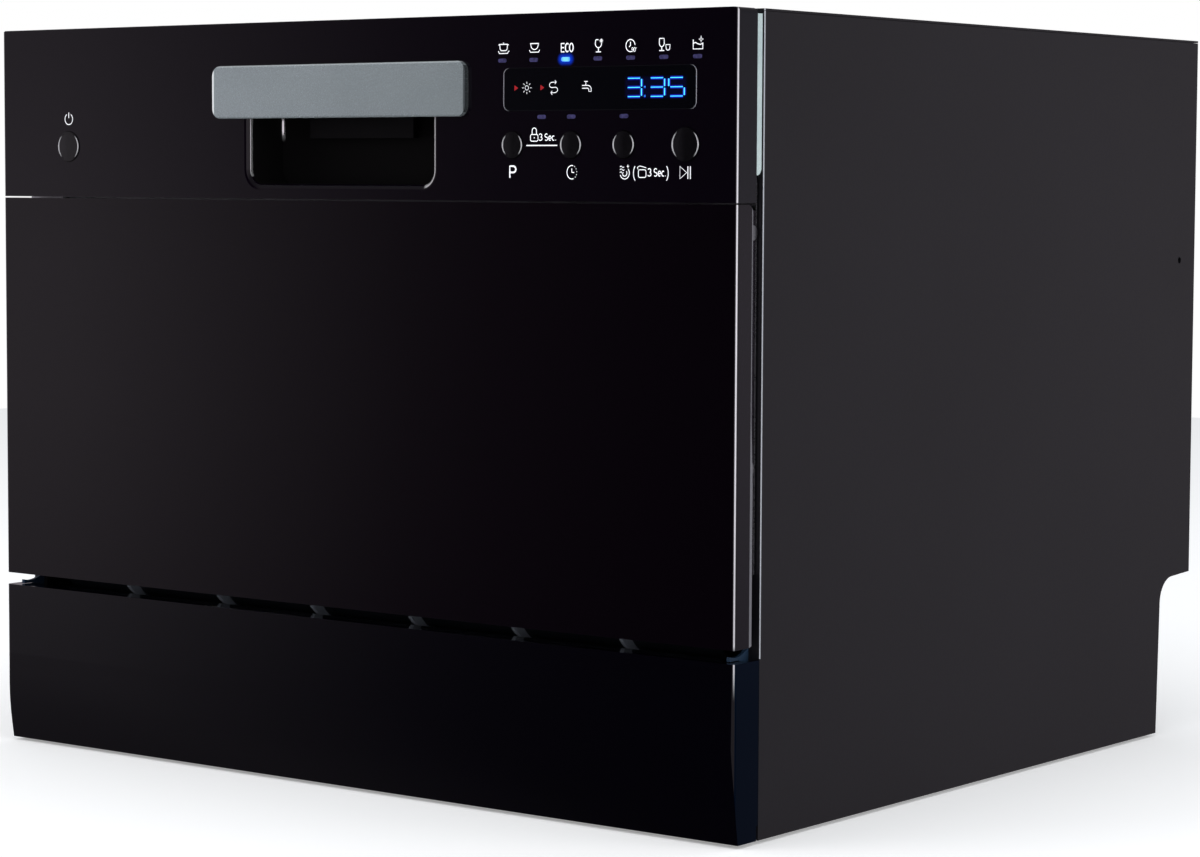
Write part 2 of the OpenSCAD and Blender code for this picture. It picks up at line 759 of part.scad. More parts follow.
module drain_spigot() {
  color("#2b2c2e") difference() {
    union() {
      rod_d(9.5, rear_wall_d - 40, body_d - 10, spigot_x, spigot_z);
      rod_d(14, rear_wall_d - wall - 3, rear_wall_d - wall - fit, spigot_x, spigot_z);
      for (i = [0 : 2]) translate([spigot_x, front_y + body_d - 14 - 6 * i, spigot_z])
        rotate([-90, 0, 0]) cylinder(r1 = 9.65, r2 = 9.4, h = 4);
    }
    rod_d(7.5, rear_wall_d - 41, body_d, spigot_x, spigot_z);
  }
}

module air_breather() {
  x0 = -inner_w + 2;
  x1 = -tub_half - 3.2;
  d0 = vent_d - 50;
  z0 = tub_z + 36;
  z1 = tub_top - 18;
  color("#cfd2d3") {
    difference() {
      slab(x0, x1, d0, d0 + 180, z0, z1);
      // chambers moulded into the outer face
      for (i = [0 : 3]) slab(x0 - 1, x0 + 6, d0 + 8 + 44 * i, d0 + 40 + 44 * i, z0 + 10, z1 - 10);
    }
    rod_x(19.5, x1 - 0.1, -tub_half + 0.5, vent_d, vent_z);
    rod_x(8, x0 + 5, x1, d0 + 160, z0 + 15);
    slab(x0 + 5, x1 - 1, d0 + 156, d0 + 168, z0 - 50, z0 + 1);
  }
}

module hinge_bracket() {
  color("#9a9da0") {
    difference() {
      across(bracket_x, bracket_x + bracket_t) {
        translate([hinge_d, hinge_z]) circle(r = knuckle_r);
        translate([hinge_d, hinge_z - 7.5]) square([28, 14]);
        polygon([[36, hinge_z - 8], [36, hinge_z + 6.5], [48, 185], [128, 185], [128, hinge_z - 8]]);
      }
      rod_x(9, bracket_x - 1, bracket_x + 3, 90, 140);
    }
    // pin of the door hinge
    rod_x(hinge_pin_r, bracket_x + 0.5, arm_x + 8, hinge_d, hinge_z);
    // bosses towards the tub wall
    for (d = [64, 112]) rod_x(6, tub_half + tub_t + fit, bracket_x + 0.1, d, 170);
  }
}

module hinge_bracket_right() hinge_bracket();
module hinge_bracket_left() mirror([1, 0, 0]) hinge_bracket();

module latch_striker() {
  z0 = tub_top + tub_t + fit;
  color("#a9acaf") {
    slab(-20, 20, 33, 60, z0, z0 + 1.5);
    both() slab(14, 16, 33, 46, z0 + 1.4, body_h - 9);
    rod_x(striker_r, -14.5, 14.5, striker_d, striker_z);
  }
}

module roller_pins() {
  color("#c4c7c9") both() for (d = roller_d) {
    rod_x(3, rail_x + rail_t + 0.4, tub_half + tub_t + 2, d, roller_z);
    rod_x(4.8, rail_x + rail_t + 0.3, rail_x + rail_t + 1, d, roller_z);
    rod_x(6, tub_half + tub_t + 0.2, tub_half + tub_t + 1.6, d, roller_z);
  }
}

// ---------------------------------------------------------------- door

module door_outer_panel() {
  low = door_flange + 1.5;
  color("#0a0a0c") {
    difference() {
      intersection() {
        front_block(door_z, door_top, low + 1);
        across(-half_w, half_w) {
          polygon([[-1, door_z], [low, door_z], [low, door_z + 85], [door_flange, door_z + 120],
            [door_flange, door_top - 4], [door_flange - 4, door_top - 4], [door_flange - 4, door_top],
            [-1, door_top]]);
          translate([door_flange - 4, door_top - 4]) circle(r = 4);
        }
      }
      slab(-half_w + door_wall, half_w - door_wall, door_wall, 30, door_z + door_wall, door_top - door_wall);
      both() slab(notch_x0, notch_x1, door_wall, 30, door_z - 1, door_z + 4);
      // lower rear edge kept inside the circle it swings on
      across(-half_w - 1, half_w + 1) difference() {
        translate([hinge_d, door_z - 1]) square([8, 5]);
        translate([hinge_d, hinge_z]) circle(r = hinge_z - door_z, $fn = 96);
      }
    }
    // stiffening ribs behind the front
    for (z = [160 : 55 : 270]) slab(-238, 238, door_wall - 0.1, 8, z, z + 1.5);
    for (x = [-204 : 68 : 204]) slab(x - 0.75, x + 0.75, door_wall - 0.1, 7, door_z + 10, door_top - 8);
  }
}

module recess_outline(off) {
  w = recess_w / 2 + off;
  r = recess_r + off;
  z0 = recess_z - off;
  translate([-w, z0 + r]) square([2 * w, recess_top + off - z0 - r]);
  translate([-w + r, z0]) square([2 * w - 2 * r, r + 0.01]);
  for (s = [-1, 1]) translate([s * (w - r), z0 + r]) circle(r = r);
}

// Section cut away along the recess edge to round it
module round_section() difference() {
  translate([-0.01, -0.01]) square([recess_round + 0.01, recess_round + 0.01]);
  translate([recess_round, recess_round]) circle(r = recess_round);
}

module recess_rounding() {
  w = recess_w / 2;
  both() translate([w, front_y, recess_z + recess_r]) linear_extrude(height = bar_z - recess_z - recess_r + 4)
    round_section();
  translate([-w + recess_r, front_y, recess_z]) rotate([90, 0, 90])
    linear_extrude(height = recess_w - 2 * recess_r) rotate(-90) round_section();
  both() translate([w - recess_r, front_y, recess_z + recess_r]) rotate([-90, 0, 0])
    rotate_extrude(angle = 90) translate([recess_r, 0]) round_section();
}

module control_fascia() {
  lens_gap = 0.15;
  color("#0b0b0e") {
    difference() {
      union() {
        difference() {
          intersection() {
            front_block(fascia_z, body_h, fascia_band);
            inwards(-1, fascia_band + 1) {
              translate([-half_w, fascia_z]) square([body_w, fascia_h - fascia_corner_r]);
              translate([-half_w + fascia_corner_r, fascia_z]) square([body_w - 2 * fascia_corner_r, fascia_h]);
              for (s = [-1, 1]) translate([s * (half_w - fascia_corner_r), body_h - fascia_corner_r])
                circle(r = fascia_corner_r);
            }
          }
          slab(-half_w + wall, half_w - wall, wall, 30, fascia_z + wall, body_h - wall);
        }
        inwards(wall - 0.1, recess_d) recess_outline(wall);
        // ribs behind the front
        for (x = [-230, -165, -120]) slab(x - 0.75, x + 0.75, wall - 0.1, 9, fascia_z + 6, body_h - wall + 0.1);
      }
      inwards(-1, recess_d - wall) recess_outline(0);
      recess_rounding();
      // slot for the paddle in the pocket's ceiling
      slab(-paddle_w / 2 - 3, paddle_w / 2 + 3, lever_d - 5, recess_d - wall, recess_top - 1, recess_top + wall + 1);
      // grip bar fixings
      both() rod_d(4 + fit, -1, wall + 1, bar_w / 2 - 12, bar_z + bar_h / 2);
      // window, lamps and buttons
      inwards(-1, wall + 1) round_rect(window_x0 - lens_gap, window_x1 + lens_gap, window_z0 - lens_gap,
        window_z1 + lens_gap, window_r);
      for (p = lamp_places()) inwards(-1, wall + 1) lens_outline(p[0], p[1], lens_gap);
      for (x = [program_x, delay_x, dry_x]) rod_d(button_d / 2 + fit, -1, wall + 1, x, button_z);
      for (x = [start_x, power_x]) rod_d(start_d / 2 + fit, -1, wall + 1, x, button_z);
    }
    // ears of the paddle's pin
    both() ear(paddle_w / 2 + 5, paddle_w / 2 + 8, lever_d, lever_z, lever_pin_r, recess_top + wall - 0.1, -1);
    // ears of the hook's pin
    both() ear(6.5, 9, hook_d, hook_z, hook_pin_r, body_h - wall + 0.1, 1);
    // bosses for the control board
    for (x = [half_w - 166, half_w - 90, half_w - 18], z = [body_h - 8, body_h - 88])
      rod_d(3, wall - 0.1, board_d - fit, x, z);
    for (z = [body_h - 52, body_h - 88]) rod_d(3, wall - 0.1, board_d - fit, power_x - 16, z);
  }
}

// Ear with a bore, standing on a surface at height z_foot above or below it
module ear(x0, x1, d, z, pin_r, z_foot, side) difference() {
  union() {
    rod_x(5, x0, x1, d, z);
    slab(x0, x1, d - 5, d + 5, min(z, z_foot), max(z, z_foot));
  }
  rod_x(pin_r + fit, x0 - 1, x1 + 1, d, z);
}

function lamp_places() = concat(
  [for (i = [0 : 6]) [half_w - controls_edge - lamp_pitch * i, lamp_z]],
  [for (x = option_lamp_x) [x, option_lamp_z]]);

module lens_outline(x, z, gap)
  round_rect(x - lens_w / 2 - gap, x + lens_w / 2 + gap, z - lens_h / 2 - gap, z + lens_h / 2 + gap, lens_r);

module indicator_lenses() {
  color("#8a86a8") for (p = lamp_places()) {
    inwards(0, wall) lens_outline(p[0], p[1], 0);
    inwards(wall - 0.01, board_d - fit) round_rect(p[0] - 2.5, p[0] + 2.5, p[1] - 1, p[1] + 1, 0.9);
  }
}

module display_window() {
  color("#111214") {
    inwards(0.1, wall + fit) round_rect(window_x0, window_x1, window_z0, window_z1, window_r);
    inwards(wall + 0.1, wall + 1.6) round_rect(window_x0 - 1.4, window_x1 + 1.4, window_z0 - 1.2, window_z1 + 1.2, 2);
  }
}

module control_board() {
  x0 = half_w - 172;
  x1 = half_w - 12;
  color("#1f5a34") {
    slab(x0, x1, board_d, board_d + board_t, body_h - 94, body_h - 4);
    slab(power_x - 20, power_x + 16, board_d, board_d + board_t, body_h - 94, body_h - 46);
    // display glass block and switches
    slab(window_x0 + 4, window_x1 - 4, wall + 2, board_d + 0.1, window_z0 + 2, window_z1 - 2);
    for (x = [program_x, delay_x, dry_x, start_x, power_x])
      slab(x - 3, x + 3, board_d - switch_h, board_d + 0.1, button_z - 3, button_z + 3);
    // parts on the rear
    slab(x0 + 20, x0 + 44, board_d + board_t - 0.1, board_d + board_t + 4, body_h - 60, body_h - 36);
    slab(x1 - 60, x1 - 20, board_d + board_t - 0.1, board_d + board_t + 5, body_h - 86, body_h - 70);
    for (i = [0 : 3]) rod_d(4, board_d + board_t - 0.1, board_d + board_t + 6, x0 + 66 + 11 * i, body_h - 20);
  }
}

module control_housing() {
  rim0 = fascia_band + fit;
  z0 = body_h - 86.3;
  z1 = body_h - 2.8;
  w = half_w - 0.5;
  color("#8f9c96") difference() {
    across(-w, w) {
      translate([rim0, z0 + 4]) square([liner_d - rim0, z1 - z0 - 4]);
      intersection() {
        translate([liner_d - 4, z0 + 4]) circle(r = 4);
        translate([rim0, z0]) square([liner_d - rim0, 5]);
      }
      translate([rim0, z0]) square([liner_d - rim0 - 4, 5]);
    }
    // open towards the liner behind a 1.8 mm back wall
    slab(-w + wall, w - wall, rim0 + 1.8, 40, z0 + 2, z1 - 2);
    slab(-w + wall, w - wall, liner_d - liner_t - fit, 40, z0 - 1, z0 + 3);
    // room for the recess and the latch
    slab(-recess_w / 2 - 6, recess_w / 2 + 6, rim0 - 1, 40, z0 - 1, lever_z + 8);
    slab(-14, 14, rim0 - 1, 40, lever_z + 7, z1 - 2);
    for (x = [-210 : 30 : -120]) inwards(rim0 - 1, 40) round_rect(x - 10, x + 10, z0 + 20, z0 + 26, 2.9);
  }
}

module handle_bar() {
  z0 = bar_z;
  z1 = bar_top;
  e = bar_edge_r;
  p = handle_proud;
  color("#a9adb2") {
    intersection() {
      inwards(-p, 0) round_rect(-bar_w / 2, bar_w / 2, z0, z1, bar_r);
      // section with softened front edges
      across(-bar_w / 2, bar_w / 2) {
        translate([e - p, z0]) square([p - e + 1, z1 - z0]);
        translate([-p, z0 + e]) square([p, z1 - z0 - 2 * e]);
        for (z = [z0 + e, z1 - e]) translate([e - p, z]) circle(r = e);
      }
    }
    // lip for the fingers behind the bar
    slab(-recess_w / 2 + 3, recess_w / 2 - 3, -0.1, 8, z0 + 0.5, z0 + 3);
    // pegs into the fascia
    both() rod_d(4, -0.1, wall + 3, bar_w / 2 - 12, z0 + bar_h / 2);
  }
}

module door_liner() {
  t = liner_t;
  inner = liner_d - t;
  color("#b4b7ba") difference() {
    union() {
      slab(-liner_half, liner_half, 8, liner_d, liner_z0, liner_tray_top);
      slab(-liner_half, liner_half, inner, liner_d, liner_tray_top - 1, fascia_z + 12);
      slab(-liner_half + 0.7, liner_half - 0.7, inner, liner_d, fascia_z + 11, body_h - 5.2);
      inwards(liner_d - 1, plug_d) round_rect(-plug_half, plug_half, plug_z0, plug_z1, plug_r);
    }
    slab(-liner_half + t, liner_half - t, 7, inner, liner_z0 + t, liner_tray_top + 1);
    inwards(liner_d - 4, plug_d - t) round_rect(-plug_half + t, plug_half - t, plug_z0 + t, plug_z1 - t, plug_r - t);
    // hinge notches
    both() slab(notch_x0, notch_x1, 6, liner_d + 1, liner_z0 - 1, hinge_z + 13);
    both() slab(gasket_half + 1.5, liner_half + 1, 6, liner_d + 1, liner_z0 - 1, hinge_z + 26);
    // latch slot
    slab(-9, 9, inner - 1, liner_d + 1, tub_top + 8, body_h);
    // dispenser opening
    slab(-dispenser_half + 8, dispenser_half - 8, plug_d - 3, plug_d + 1,
      dispenser_z - dispenser_h / 2 + 8, dispenser_z + dispenser_h / 2 - 8);
    // screw holes in the side walls
    both() for (p = door_screw_places()) rod_x(1.6, liner_half - 4, liner_half + 1, p[0], p[1]);
  }
}

function door_screw_places() = [[17.7, 321.9], [16.3, 198.9]];

module door_screws() {
  color("#9da0a4") both() for (p = door_screw_places()) {
    rod_x(1.4, liner_half - 8, liner_half + fit, p[0], p[1]);
    rod_x(4, liner_half + 0.05, liner_half + 0.45, p[0], p[1]);
  }
}

module lower_door_seal() {
  z = tub_z - 7;
  color("#1a1b1d") across(-plug_half + 8, plug_half - 8) {
    translate([plug_d + fit, z - 5]) square([1.6, 10]);
    translate([sill_d - fit - 2.1, z]) circle(r = 2.1);
  }
}

module hinge_arm() {
  color("#8e9194") difference() {
    across(arm_x, arm_x + 2) {
      translate([hinge_d, hinge_z]) circle(r = knuckle_r);
      polygon([[hinge_d - 6, hinge_z], [hinge_d + 7, hinge_z], [liner_d - liner_t - fit, hinge_z + 15],
        [liner_d - liner_t - fit, 240], [13, 250], [5, 250]]);
    }
    rod_x(hinge_pin_r + fit, arm_x - 1, arm_x + 3, hinge_d, hinge_z);
    for (z = [150, 190, 230]) rod_x(2.5, arm_x - 1, arm_x + 3, 13, z);
  }
}

module hinge_arm_right() hinge_arm();
module hinge_arm_left() mirror([1, 0, 0]) hinge_arm();

// Torsion spring wound round each hinge pin, as one swept wire
spring_turns = 3;
spring_wire = 0.55;
spring_coil = 5.2;
spring_steps = 8;
spring_sides = 6;

function spring_point(t, s) =
  let (a = 360 * t, b = 60 * s, r = spring_coil + spring_wire * cos(b))
  [t * 1.5 + spring_wire * sin(b), r * cos(a), r * sin(a)];

module torsion_spring() {
  n = spring_turns * spring_steps;
  echo(least_gap_between_coils = 1.5 - 2 * spring_wire);
  polyhedron(
    points = [for (i = [0 : n], s = [0 : spring_sides - 1]) spring_point(i / spring_steps, s)],
    faces = concat(
      [for (i = [0 : n - 1], s = [0 : spring_sides - 1], k = [0, 1])
        let (a = i * spring_sides + s, b = i * spring_sides + (s + 1) % spring_sides)
        k == 0 ? [a, b, b + spring_sides] : [a, b + spring_sides, a + spring_sides]],
      [for (s = [1 : spring_sides - 2]) [0, s + 1, s]],
      [for (s = [1 : spring_sides - 2]) let (e = n * spring_sides) [e, e + s, e + s + 1]]));
}

module door_springs() {
  color("#777a7d") both() translate([arm_x + 2 + spring_wire + fit, front_y + hinge_d, hinge_z])
    torsion_spring();
}

module dispenser_body() {
  d0 = plug_d + fit;
  d1 = plug_d + dispenser_front;
  z0 = dispenser_z - dispenser_h / 2;
  z1 = dispenser_z + dispenser_h / 2;
  h = dispenser_half - 8 - fit;
  color("#7d8286") difference() {
    union() {
      inwards(d0, d1) round_rect(-dispenser_half, dispenser_half, z0, z1, 6);
      slab(-h, h, 16, d0 + 0.1, z0 + 8 + fit, z1 - 8 - fit);
      // guide rails of the lid
      for (z = [dispenser_z - cup_h / 2 - 7, dispenser_z + cup_h / 2 + 4])
        slab(-58, 78, d1 - 0.1, d1 + lid_t + 0.6, z, z + 3);
    }
    // detergent cup
    slab(cup_x0, cup_x1, 19, d1 + 1, dispenser_z - cup_h / 2, dispenser_z + cup_h / 2);
    // filler of the rinse aid
    rod_d(11, 20, d1 + 1, cap_x, dispenser_z);
    slab(-58, cup_x0 - 6, d1 - 1, d1 + 1, dispenser_z - 1.5, dispenser_z + 1.5);
  }
}

module dispenser_lid() {
  d0 = plug_d + dispenser_front + fit;
  color("#5f6468") difference() {
    union() {
      slab(cup_x0 - 5, cup_x1 + 5, d0, d0 + lid_t, dispenser_z - cup_h / 2 - 3.6, dispenser_z + cup_h / 2 + 3.6);
      slab(cup_x0 + 8, cup_x0 + 14, d0 + lid_t - 0.1, d0 + lid_t + 3, dispenser_z - 14, dispenser_z + 14);
    }
    for (z = [-12 : 6 : 12]) slab(cup_x0 + 24, cup_x1 - 6, d0 + lid_t - 0.8, d0 + lid_t + 1,
      dispenser_z + z - 1, dispenser_z + z + 1);
  }
}

module rinse_aid_cap() {
  d0 = plug_d + dispenser_front + fit;
  color("#2f5f9e") {
    rod_d(14, d0, d0 + 3, cap_x, dispenser_z);
    rod_d(10.6, d0 - 7, d0 + 0.1, cap_x, dispenser_z);
    slab(cap_x - 10, cap_x + 10, d0 + 2.9, d0 + 6, dispenser_z - 2, dispenser_z + 2);
  }
}

// ---------------------------------------------------------------- latch

module latch_lever() {
  pw = paddle_w / 2;
  color("#3a3d41") {
    // paddle behind the grip bar
    slab(-pw, pw, 19.5, 22, bar_z - 11.2, recess_top + 1);
    slab(-pw, pw, 19.5, 24, bar_z - 11.2, bar_z - 9.2);
    both() across(pw - 6, pw - 3) polygon([[19.5, recess_top - 6], [22, recess_top - 6], [lever_d + 5.5, recess_top + 1],
      [lever_d + 3, lever_z + 3], [lever_d - 3, lever_z + 3], [lever_d - 3, lever_z - 3]]);
    rod_x(lever_pin_r, -pw - 8, pw + 8, lever_d, lever_z);
    // finger that lifts the hook
    slab(-4, 4, lever_d - 1, lever_d + 1, lever_z, lever_z + 8);
  }
}

module latch_hook() {
  tail_d = hook_d + 3.6;
  // drawn latched, then lifted to the released rest place
  color("#c9ccd0") translate([0, front_y + hook_d, hook_z]) rotate([latch_lift, 0, 0])
    translate([0, -front_y - hook_d, -hook_z]) {
      across(-hook_half, hook_half) {
        translate([hook_d, hook_z]) circle(r = 4.4);
        polygon([[hook_d, hook_z + 4.2], [44, hook_z + 5.6], [44, hook_z - 1], [striker_d + striker_r + 0.5,
          hook_z - 1], [striker_d + striker_r + 0.5, striker_z + striker_r + 0.4], [hook_d, hook_z - 1]]);
        polygon([[hook_d, hook_z], [tail_d + 2, hook_z], [tail_d + 2, hook_z - 12], [tail_d, hook_z - 12],
          [tail_d, hook_z - 3], [hook_d, hook_z - 3]]);
      }
      rod_x(hook_pin_r, -9, 9, hook_d, hook_z);
    }
}

// ---------------------------------------------------------------- buttons

module push_button(x, r) {
  color("#131316") {
    rod_d(r, -0.6, wall + 0.1, x, button_z);
    rod_d(r + 1.2, wall + fit, wall + fit + 1, x, button_z);
    rod_d(r - 1, wall - 1, wall + 1, x, button_z);
    rod_d(stem_r, wall, board_d - switch_h - button_travel - fit, x, button_z);
  }
}

module power_button() push_button(power_x, start_d / 2);
module program_button() push_button(program_x, button_d / 2);
module delay_button() push_button(delay_x, button_d / 2);
module dry_button() push_button(dry_x, button_d / 2);
module start_button() push_button(start_x, start_d / 2);

// ---------------------------------------------------------------- wash parts

module spray_arm() {
  z1 = spray_z + spray_h;
  color("#777c80") translate([0, front_y + spray_y, 0]) {
    difference() {
      union() {
        translate([0, 0, spray_z]) linear_extrude(height = spray_h - 3) {
          circle(r = 26);
          for (a = [0, 180]) rotate(a) {
            polygon([[0, -24], [spray_reach - 14, -13], [spray_reach - 14, 13], [0, 24]]);
            translate([spray_reach - 14, 0]) circle(r = 13.2);
          }
        }
        // crown along the blade
        translate([0, 0, z1 - 3.01]) linear_extrude(height = 3) {
          circle(r = 20);
          for (a = [0, 180]) rotate(a) {
            polygon([[0, -17], [spray_reach - 16, -8], [spray_reach - 16, 8], [0, 17]]);
            translate([spray_reach - 16, 0]) circle(r = 8.2);
          }
        }
      }
      translate([0, 0, spray_z - 1]) cylinder(r = axle_r + fit, h = 10);
      // jets
      for (a = [0, 180]) rotate(a) for (i = [0 : 4])
        translate([40 + 25 * i, i % 2 == 0 ? 3 : -3, z1 - 2]) cylinder(r = 1.6, h = 4);
    }
  }
}

// ---------------------------------------------------------------- rack

module wire_x(x0, x1, d, z) rod_x(wire_r, x0, x1, d, z, $fn = 24);
module wire_d(d0, d1, x, z) rod_d(wire_r, d0, d1, x, z, $fn = 24);
module wire_z(z0, z1, x, d) rod_z(wire_r, z0, z1, x, d, $fn = 24);

module rack_basket() {
  front_top = rack_z + rack_front_h;
  wall_top = rack_z + rack_wall_h;
  arc_d = rack_front + rack_r;
  arc_z = rack_z + rack_r;
  edge = rack_half - wire_r - 0.1;
  color("#d5d8da") {
    // floor mat
    for (x = floor_x) wire_d(arc_d + fit, rack_rear - wire_r - 0.1, x, rack_z);
    for (d = floor_d) wire_x(-edge, edge, d, rack_z + cross);
    // front mat with the curved lower corner
    for (x = floor_x) {
      wire_z(arc_z, front_top, x, rack_front);
      translate([x, front_y + arc_d, arc_z]) rotate([0, 90, 0]) rotate([0, 0, -90])
        rotate_extrude(angle = 90) translate([rack_r, 0]) circle(r = wire_r, $fn = 24);
    }
    for (z = [rack_z + 40, rack_z + 73, front_top - wire_r])
      wire_x(-edge + cross, edge - cross, rack_front + cross, z);
    // rear mat
    for (x = floor_x) wire_z(rack_z - wire_r, wall_top, x, rack_rear);
    for (z = [rack_z + 40, rack_z + 87, wall_top - wire_r])
      wire_x(-edge + cross, edge - cross, rack_rear - cross, z);
    // side mats
    both() {
      for (d = floor_d) wire_z(rack_z + 1, wall_top, rack_half, d);
      for (z = [rack_z + 14, rack_z + 58, shelf_z, wall_top - wire_r])
        wire_d(rack_front + 4.5, rack_rear - 4.5, rack_half - cross, z);
    }
  }
}

module rack_rails() {
  d0 = roller_d[0] - 13;
  color("#aeb2b5") both() difference() {
    slab(rail_x, tub_half - 3.5, d0, rack_rear, roller_z - rail_inner - rail_t, roller_z + rail_inner + rail_t);
    slab(rail_x + rail_t, tub_half, d0 + rail_t, rack_rear - rail_t, roller_z - rail_inner, roller_z + rail_inner);
  }
}

module plate_tines() {
  z0 = rack_z + cross + 2 * wire_r + 0.1;
  color("#d5d8da") for (x = [-34, 34]) {
    wire_d(124, 424, x, z0);
    for (d = [134 : 35 : 414]) translate([x, front_y + d, z0]) rotate_extrude($fn = 24)
      polygon([[0, 0], [tine_r, 0], [tine_r, tine_h - tine_tip], [tine_r - tine_tip / 2, tine_h], [0, tine_h]]);
  }
}

module cup_shelf() {
  d0 = basket_d + 16;
  len = 196;
  hook_r = wire_r + fit;
  reach = 96;
  color("#8b9094") difference() {
    union() {
      slab(shelf_axis_x + 4, shelf_axis_x + reach, d0, d0 + len, shelf_z - 2, shelf_z + 1.5);
      slab(shelf_axis_x + reach - 4, shelf_axis_x + reach, d0, d0 + len, shelf_z - 2, shelf_z + 7);
      for (d = [floor_d[1] + rack_pitch_d / 2 - 6, floor_d[4] + rack_pitch_d / 2 - 6]) {
        rod_d(4.3, d, d + 12, shelf_axis_x, shelf_z);
        slab(shelf_axis_x, shelf_axis_x + 8, d, d + 12, shelf_z - 2, shelf_z + 1.5);
      }
    }
    rod_d(hook_r, d0, d0 + len, shelf_axis_x, shelf_z);
    // grating
    for (i = [0 : 8]) slab(shelf_axis_x + 12, shelf_axis_x + reach - 10, d0 + 8 + 20.8 * i, d0 + 22 + 20.8 * i,
      shelf_z - 5, shelf_z + 3);
  }
}

module cutlery_basket() {
  t = 2;
  slot_w = 9;
  d0 = basket_d;
  d1 = basket_d + basket_l;
  z0 = basket_z;
  z1 = basket_z + basket_h;
  rim = z1 - 24;
  mid = (basket_x0 + basket_x1) / 2;
  inset = t + fit;
  cell_l = basket_l / 3;
  color("#9aa0a4") {
    // slotted tray
    difference() {
      slab(basket_x0, basket_x1, d0, d1, z0, rim);
      slab(basket_x0 + t, basket_x1 - t, d0 + t, d1 - t, z0 + t, z1);
      // slots in the long and short walls
      for (i = [0 : 11]) slab(basket_x0 - 1, basket_x1 + 1, d0 + 8 + i * (basket_l - 16) / 12,
        d0 + 8 + slot_w + i * (basket_l - 16) / 12, z0 + 3, z1 - 36);
      for (s = [0, 1], i = [0 : 2]) slab(basket_x0 + 7 + s * 46 + i * 11.5, basket_x0 + 14 + s * 46 + i * 11.5,
        d0 - 1, d1 + 1, z0 + 3, z1 - 36);
      // drain holes in the floor
      for (s = [0, 1], j = [0 : 2], i = [0 : 5])
        slab(basket_x0 + 8 + s * 44 + j * 11, basket_x0 + 15 + s * 44 + j * 11, d0 + 9 + i * 30, d0 + 30 + i * 30,
          z0 - 1, z0 + 3);
    }
    // partitions and handle, one moulding that drops into the tray
    difference() {
      union() {
        slab(mid - t / 2, mid + t / 2, d0 + inset, d1 - inset, z0 + inset, rim);
        for (i = [1 : 2]) slab(basket_x0 + inset, basket_x1 - inset, d0 + i * cell_l - t / 2,
          d0 + i * cell_l + t / 2, z0 + inset, rim);
        for (d = [d0 + inset, d1 - inset - 6]) slab(mid - 6, mid + 6, d, d + 6, rim - 2, z1);
        slab(mid - 6, mid + 6, d0 + inset, d1 - inset, z1 - 6, z1);
      }
      // windows
      for (i = [0 : 2]) slab(mid - t, mid + t, d0 + i * cell_l + 14, d0 + (i + 1) * cell_l - 14, z0 + 16, z1 - 40);
      for (s = [0, 1]) slab(basket_x0 + 12 + s * 45, basket_x0 + 35 + s * 45, d0 + 10, d1 - 10, z0 + 16, z1 - 40);
    }
  }
}

module rollers(i) {
  x0 = rail_x + rail_t + 1.3;
  x1 = tub_half - 3;
  color("#e8e8e6") both() difference() {
    union() {
      rod_x(roller_r, x0, x1, roller_d[i], roller_z);
    }
    rod_x(3 + fit, x0 - 1, x1 + 1, roller_d[i], roller_z);
    for (a = [0 : 60 : 300]) translate([x1 - 1, front_y + roller_d[i], roller_z]) rotate([a, 0, 0])
      translate([0, 6.2, 0]) rotate([0, 90, 0]) cylinder(r = 1.4, h = 3);
  }
}

module rollers_front() rollers(0);
module rollers_rear() rollers(1);

base_frame();
plinth();
feet();
side_panel_left();
side_panel_right();
top_panel();
back_panel();
cabinet_screws();
splash_guard();
tub();
tub_gasket();
sump();
filter_plate();
wash_pump();
drain_pump();
softener();
inlet_valve();
drain_spigot();
air_breather();
cable_gland();
hinge_bracket_left();
hinge_bracket_right();
latch_striker();
roller_pins();
door_outer_panel();
control_fascia();
display_window();
control_board();
control_housing();
handle_bar();
door_liner();
lower_door_seal();
dispenser_body();
hinge_arm_left();
hinge_arm_right();
door_springs();
door_screws();
indicator_lenses();
latch_lever();
latch_hook();
power_button();
program_button();
delay_button();
dry_button();
start_button();
dispenser_lid();
rinse_aid_cap();
spray_arm();
filter_cup();
salt_cap();
leak_float();
rack_basket();
rack_rails();
plate_tines();
cup_shelf();
cutlery_basket();
rollers_front();
rollers_rear();
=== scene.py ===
"""Countertop dishwasher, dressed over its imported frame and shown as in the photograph."""
import math

import bmesh
import bpy
from mathutils import Matrix, Vector


